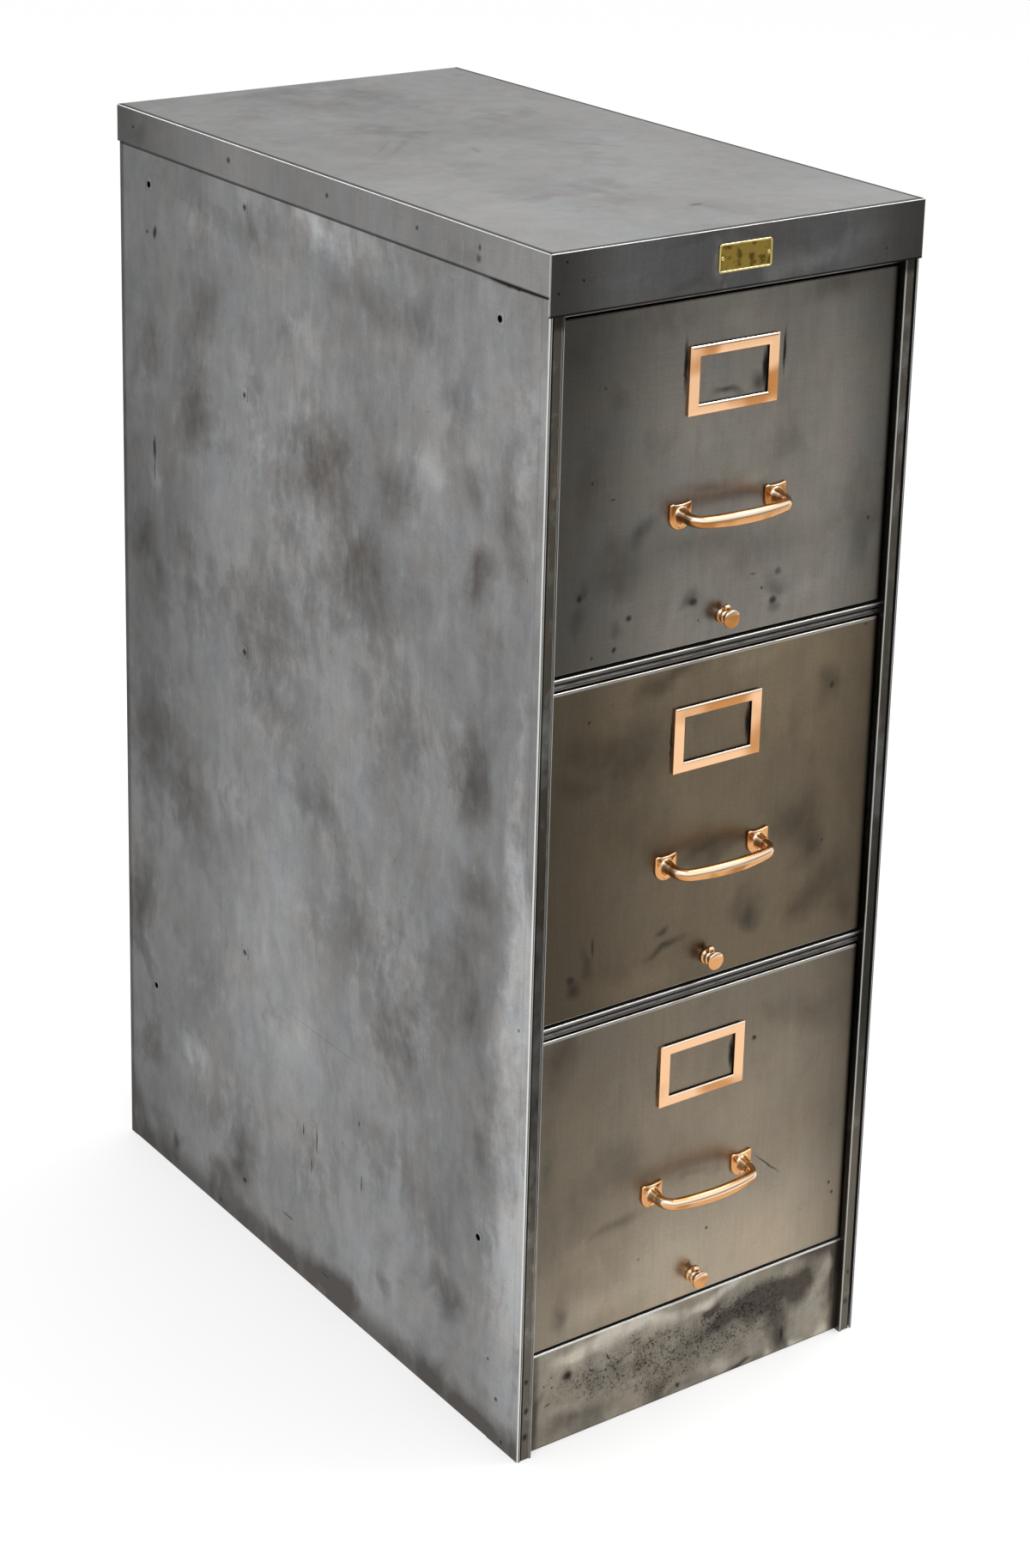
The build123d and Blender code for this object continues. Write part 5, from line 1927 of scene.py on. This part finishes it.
def steels() -> dict[str, bpy.types.Material]:
    """Make the steel of every visible face.

    Returns:
        The materials by the name of what they are for.
    """
    side_bands = (
        # Painted shadow on the side under the cap's skirt.
        Band(Kind.SPOT, 2, 1021.0, 1024, 0.8, 0.8, facing=0),
        # Worn bare metal and painted highlight on the front fold.
        Band(Kind.BRIGHT, 1, -330, -321.4, 0.4, 0.7),
        # Painted shade in the grooves between the front fold and the post.
        Band(Kind.SPOT, 0, 187.0, 187.8, 0.3, 0.8, True, facing=1),
        Band(Kind.SPOT, 0, 184.0, 186.3, 0.3, 0.95, True, facing=1),
        Band(Kind.SPOT, 1, -313.0, -312.2, 0.5, 0.15, facing=0),
        Band(Kind.STAIN, 2, -1, 6, 30, 0.8, facing=0),
        Band(Kind.STAIN, 1, 343, 350, 5, 0.7, facing=0),
    )
    # Painted light and shade: darker towards the back and at mid height, lighter near the front.
    side_shades = (Shade(1, 345, 60, 0.50, 1.0), Shade(1, -180, -310, 1.0, 1.16),
                   Shade(2, 850, 650, 1.0, 0.82), Shade(2, 450, 330, 1.0, 1.2))
    finishes = {
        "left_side": SheetSteel("left_side_steel", Face.SIDE, clouds=0.55, marks=SIDE_MARKS, bands=side_bands,
                                shades=side_shades),
        "right_side": SheetSteel("right_side_steel", Face.SIDE, clouds=0.75, seed=3.1, bands=side_bands,
                                 shades=side_shades),
        "back": SheetSteel("back_steel", Face.FRONT, plain=(120, 119, 117), clouds=0.7, seed=5.3,
                           bands=(Band(Kind.STAIN, 2, -1, 6, 12, 0.8),)),
        "cap": SheetSteel(
            "cap_steel", Face.TOP, plain=(127, 126, 125), stain=(96, 93, 90), rubbed=(156, 156, 155),
            clouds=0.45, fold_wear_and_highlight=0.4, seed=1.3, marks=TOP_MARKS,
            bands=(Band(Kind.SPOT, 0, 185.8, 189.4, 0.3, 0.85, True, facing=2),
                   Band(Kind.SPOT, 1, -323.0, -318.8, 0.3, 0.85, facing=2),
                   Band(Kind.SPOT, 2, 1006, 1008.2, 0.6, 0.8),
                   Band(Kind.SPOT, 0, 184, 192, 70, 0.45, True, facing=1),
                   # Worn bare metal and painted highlight on the front corner's fold.
                   Band(Kind.BRIGHT, 1, -324.0, -322.3, 0.3, 0.75, facing=0),
                   # Painted shade along the skirts' lower edges.
                   Band(Kind.SPOT, 2, 1022.0, 1023.6, 0.5, 0.5, facing=0)),
            # Painted light and shade: the apron and the skirts darker than the top, and brightness that changes
            # along the top, the skirts and the apron.
            shades=(Shade(1, -323.2, -322.4, 0.27, 1.0), Shade(0, 190.2, 189.6, 0.72, 1.0, True),
                    Shade(1, 340, -320, 0.74, 1.20, facing=2), Shade(1, 350, 140, 0.36, 1.0, facing=0),
                    Shade(1, -180, -320, 1.2, 1.50, facing=0), Shade(0, 190, 100, 1.15, 1.43, True, facing=1)),
        ),
        "post": SheetSteel(
            "post_steel", Face.FRONT, plain=(67, 63, 56), stain=(42, 38, 33), clouds=0.4, fold_wear_and_highlight=0.35, seed=2.2,
            marks=POST_MARKS,
            # Worn bare metal and painted highlight on the lips.
            bands=(Band(Kind.BRIGHT, 0, 173.9, 175.2, 0.3, 0.6, facing=1),
                   Band(Kind.BRIGHT, 0, -175.0, -173.9, 0.3, 0.48, facing=1),
                   # Painted shade in the groove beside the side's fold, and painted shadow under the cap's
                   # apron.
                   Band(Kind.SPOT, 0, 184.3, 188, 0.5, 0.95, True, facing=1),
                   Band(Kind.SPOT, 2, 1000, 1007, 8, 0.7)),
            # Painted reflection and shade: darker at mid height, much lighter near the floor.
            shades=(Shade(2, 900, 380, 1.2, 0.42), Shade(2, 340, 130, 1.0, 5.0)),
        ),
        "rail": SheetSteel(
            "rail_steel", Face.FRONT, plain=(84, 78, 72), stain=(30, 27, 26), clouds=0.3, fold_wear_and_highlight=0.25, seed=2.9,
            # Painted shade in each rail's groove, and worn bare metal with a painted highlight on each nose.
            bands=tuple(Band(Kind.STAIN, 2, low, low + 4.4, 0.8, 0.95) for low in (392.4, 698.9))
            + tuple(Band(Kind.BRIGHT, 2, high, high + 2.0, 0.5, 0.95) for high in (399.2, 705.7)),
        ),
        "kick": SheetSteel(
            "kick_steel", Face.FRONT, plain=(137, 130, 117), stain=(76, 69, 62), rubbed=(186, 179, 166),
            spot=(34, 29, 27), clouds=0.5, seed=4.4, rust=Mark(Kind.SPOT, -2, 46, 182, 36, 1.0),
            marks=KICK_MARKS,
            # Painted shade at both ends beside the posts, and worn bare metal with a painted highlight on the
            # top edge.
            bands=(Band(Kind.STAIN, 0, 168, 176, 7, 0.7, True), Band(Kind.SPOT, 0, 170.5, 176, 2, 0.5, True),
                   Band(Kind.BRIGHT, 2, 92.2, 94, 0.5, 0.85), Band(Kind.SPOT, 2, -1, 1.2, 1.0, 0.6)),
        ),
        "tub": SheetSteel("tub_steel", Face.SIDE, plain=(112, 109, 104), stain=(70, 65, 60),
                          rubbed=(138, 136, 132), clouds=0.8, seed=7.7, roughness=0.42),
        "slide": SheetSteel("slide_steel", Face.SIDE, plain=(150, 150, 149), stain=(104, 101, 97),
                            rubbed=(178, 178, 178), clouds=0.5, seed=8.8, roughness=0.3),
        **{name: FRONT_LOOKS[name].steel(name) for name in DRAWERS},
    }
    return {name: finish.material() for name, finish in finishes.items()}


# Studio


@dataclass(frozen=True)
class Studio:
    """Plain pale floor, soft light and the camera.

    Attributes:
        eye: the camera's place.
        look: direction of its view.
        right: direction of the picture's right.
        focal: focal length in pixels of the whole picture.
        centre: the view's centre in the picture, in pixels.
        picture: the picture's width and height in pixels.
        sensor: the camera's sensor width.
        floor_reach: half the floor's size.
        floor_tone: its colour.
        floor_white: share of plain white in what is seen of it.
        dark_front: how much darker the room is low down in front.
    """

    eye: Point = (-1.56804, -2.16440, 1.61872)
    look: Point = (0.54638, 0.78436, -0.29366)
    right: Point = (0.82354, -0.56697, 0.01790)
    focal: float = 3663.0
    centre: tuple[float, float] = (517.0, 508.0)
    picture: tuple[int, int] = (1200, 1826)
    sensor: float = 36.0
    floor_reach: float = 30.0
    floor_tone: Tone = (244, 244, 244)
    floor_white: float = 0.45
    dark_front: float = 0.7

    def build(self) -> None:
        """Build the floor, the light and the camera."""
        self.floor()
        self.sky()
        self.lamps()
        self.camera()

    def camera(self) -> None:
        """The camera, with as much shift as the picture's framing needs."""
        data = bpy.data.cameras.new("camera")
        width, height = self.picture
        data.sensor_width = self.sensor
        data.lens = self.focal * self.sensor / height
        data.shift_x = (width / 2 - self.centre[0]) / height
        data.shift_y = (self.centre[1] - height / 2) / height
        camera = bpy.data.objects.new("camera", data)
        back = -Vector(self.look).normalized()
        right = Vector(self.right).normalized()
        up = back.cross(right)
        turn = Matrix((right, up, back)).transposed().to_4x4()
        camera.matrix_world = Matrix.Translation(self.eye) @ turn
        bpy.context.scene.collection.objects.link(camera)
        bpy.context.scene.camera = camera

    def floor(self) -> None:
        """A flat floor that fills the view."""
        reach = self.floor_reach
        mesh = bpy.data.meshes.new("floor")
        mesh.from_pydata([(-reach, -reach, 0), (reach, -reach, 0), (reach, reach, 0), (-reach, reach, 0)], [],
                         [(0, 1, 2, 3)])
        made = bpy.data.materials.new("floor_white")
        made.use_nodes = True
        shop = NodeShop(made.node_tree)
        matt = shop.node("ShaderNodeBsdfDiffuse", {}, {"Color": linear(self.floor_tone)})
        white = shop.node("ShaderNodeEmission", {}, {"Color": (1.0, 1.0, 1.0, 1.0), "Strength": 1.0})
        share = self.seen(shop) * self.floor_white
        shader = shop.node("ShaderNodeMixShader", {}, {0: share, 1: matt, 2: white})
        shop.node("ShaderNodeOutputMaterial", {}, {"Surface": shader})
        mesh.materials.append(made)
        floor = bpy.data.objects.new("floor", mesh)
        bpy.context.scene.collection.objects.link(floor)

    @staticmethod
    def seen(shop: NodeShop) -> Wire:
        """Share of rays that come from the camera, from a reflection or through glass.

        Args:
            shop: maker of the nodes.

        Returns:
            A wire that is 1 for these rays and 0 for all others.
        """
        path = shop.node("ShaderNodeLightPath", {}, {}, "Is Camera Ray")
        glossy, through = (Wire(shop, path.socket.node.outputs[name])
                           for name in ("Is Glossy Ray", "Is Transmission Ray"))
        return shop.math("MAXIMUM", shop.math("MAXIMUM", path, glossy), through)

    def sky(self) -> None:
        """White room, darker low down in front."""
        world = bpy.data.worlds.new("room")
        bpy.context.scene.world = world
        world.use_nodes = True
        shop = NodeShop(world.node_tree)
        way = shop.node("ShaderNodeTexCoord", {}, {}, "Generated")
        high = shop.node("ShaderNodeSeparateXYZ", {}, {0: way}, "Z")
        ahead = shop.vector("DOT_PRODUCT", {0: way, 1: (0.0, -1.0, 0.0)}, "Value")
        dark = shop.ramp(ahead, 0.0, 0.55) * shop.ramp(high, 0.40, 0.10, 0.0, self.dark_front)
        level = shop.ramp(high, 0.0, 0.75, 0.8, 1.15) * (1.0 - dark)
        light = shop.node("ShaderNodeBackground", {}, {"Color": (1.0, 1.0, 1.0, 1.0), "Strength": level})
        shop.node("ShaderNodeOutputWorld", {}, {"Surface": light})

    def lamps(self) -> None:
        """Three soft boxes: high on the left in front, high on the right, and behind."""
        for name, place, target, size, glow in (
            ("key", (-1.6, -1.2, 3.4), (0.0, 0.0, 0.5), 1.4, 4.0),
            ("overhead", (1.4, -0.5, 3.2), (0.0, 0.0, 0.7), 1.6, 6.0),
            ("rear", (-1.1, 2.6, 2.5), (0.0, 0.0, 0.9), 1.2, 4.0),
        ):
            data = bpy.data.lights.new(name, "AREA")
            data.size = size
            data.energy = glow * pi * size ** 2
            lamp = bpy.data.objects.new(name, data)
            lamp.location = place
            lamp.visible_camera = False
            way = Vector(target) - Vector(place)
            lamp.rotation_euler = way.to_track_quat("-Z", "Y").to_euler()
            bpy.context.scene.collection.objects.link(lamp)


def main() -> None:
    """Build the scene in order: finishes, case, drawers, inner works and studio."""
    logging.basicConfig(level=logging.INFO, format="%(message)s")
    bpy.context.scene.view_settings.view_transform = "Standard"
    made = steels()
    # Each crown tone is a painted highlight on the metal's upper faces and its undersides.
    copper = BrightMetal("polished_copper", (208, 152, 98), (160, 106, 54), 0.14, lumps=38.0, detail=1.0,
                         share=0.9, crown=(255, 228, 198), crown_span=(0.10, 0.34, 0.64, 0.86)).material()
    pale_copper = BrightMetal("pale_copper", (234, 188, 146), (188, 130, 76), 0.15, lumps=24.0, detail=0.5,
                              share=1.0, crown=(255, 240, 222)).material()
    brass = BrightMetal("aged_brass", (130, 110, 50), (70, 54, 20), 0.30, lumps=110.0, share=0.85).material()
    pin_brass = BrightMetal("pin_brass", (196, 174, 106), (140, 118, 60), 0.24, crown=(232, 216, 162)).material()

    Case(made).build()
    Nameplate().build(brass, pin_brass)
    for name in DRAWERS:
        Drawer(name, made[name], copper, pale_copper).build()
        dress_nodes(made["tub"], [f"{name}_{part}" for part in ("drawer_body", "follower")])
        dress_nodes(made["slide"], [f"{name}_{part}" for part in (
            "drawer_channels", "roller_arms", "front_rollers", "middle_rollers", "rear_rollers", "guide_rod")])
    dress_nodes(made["tub"], ["rear_uprights", "bottom_pan"])
    dress_nodes(made["slide"], ["case_channels"])
    Studio().build()


if __name__ == "__main__":
    main()
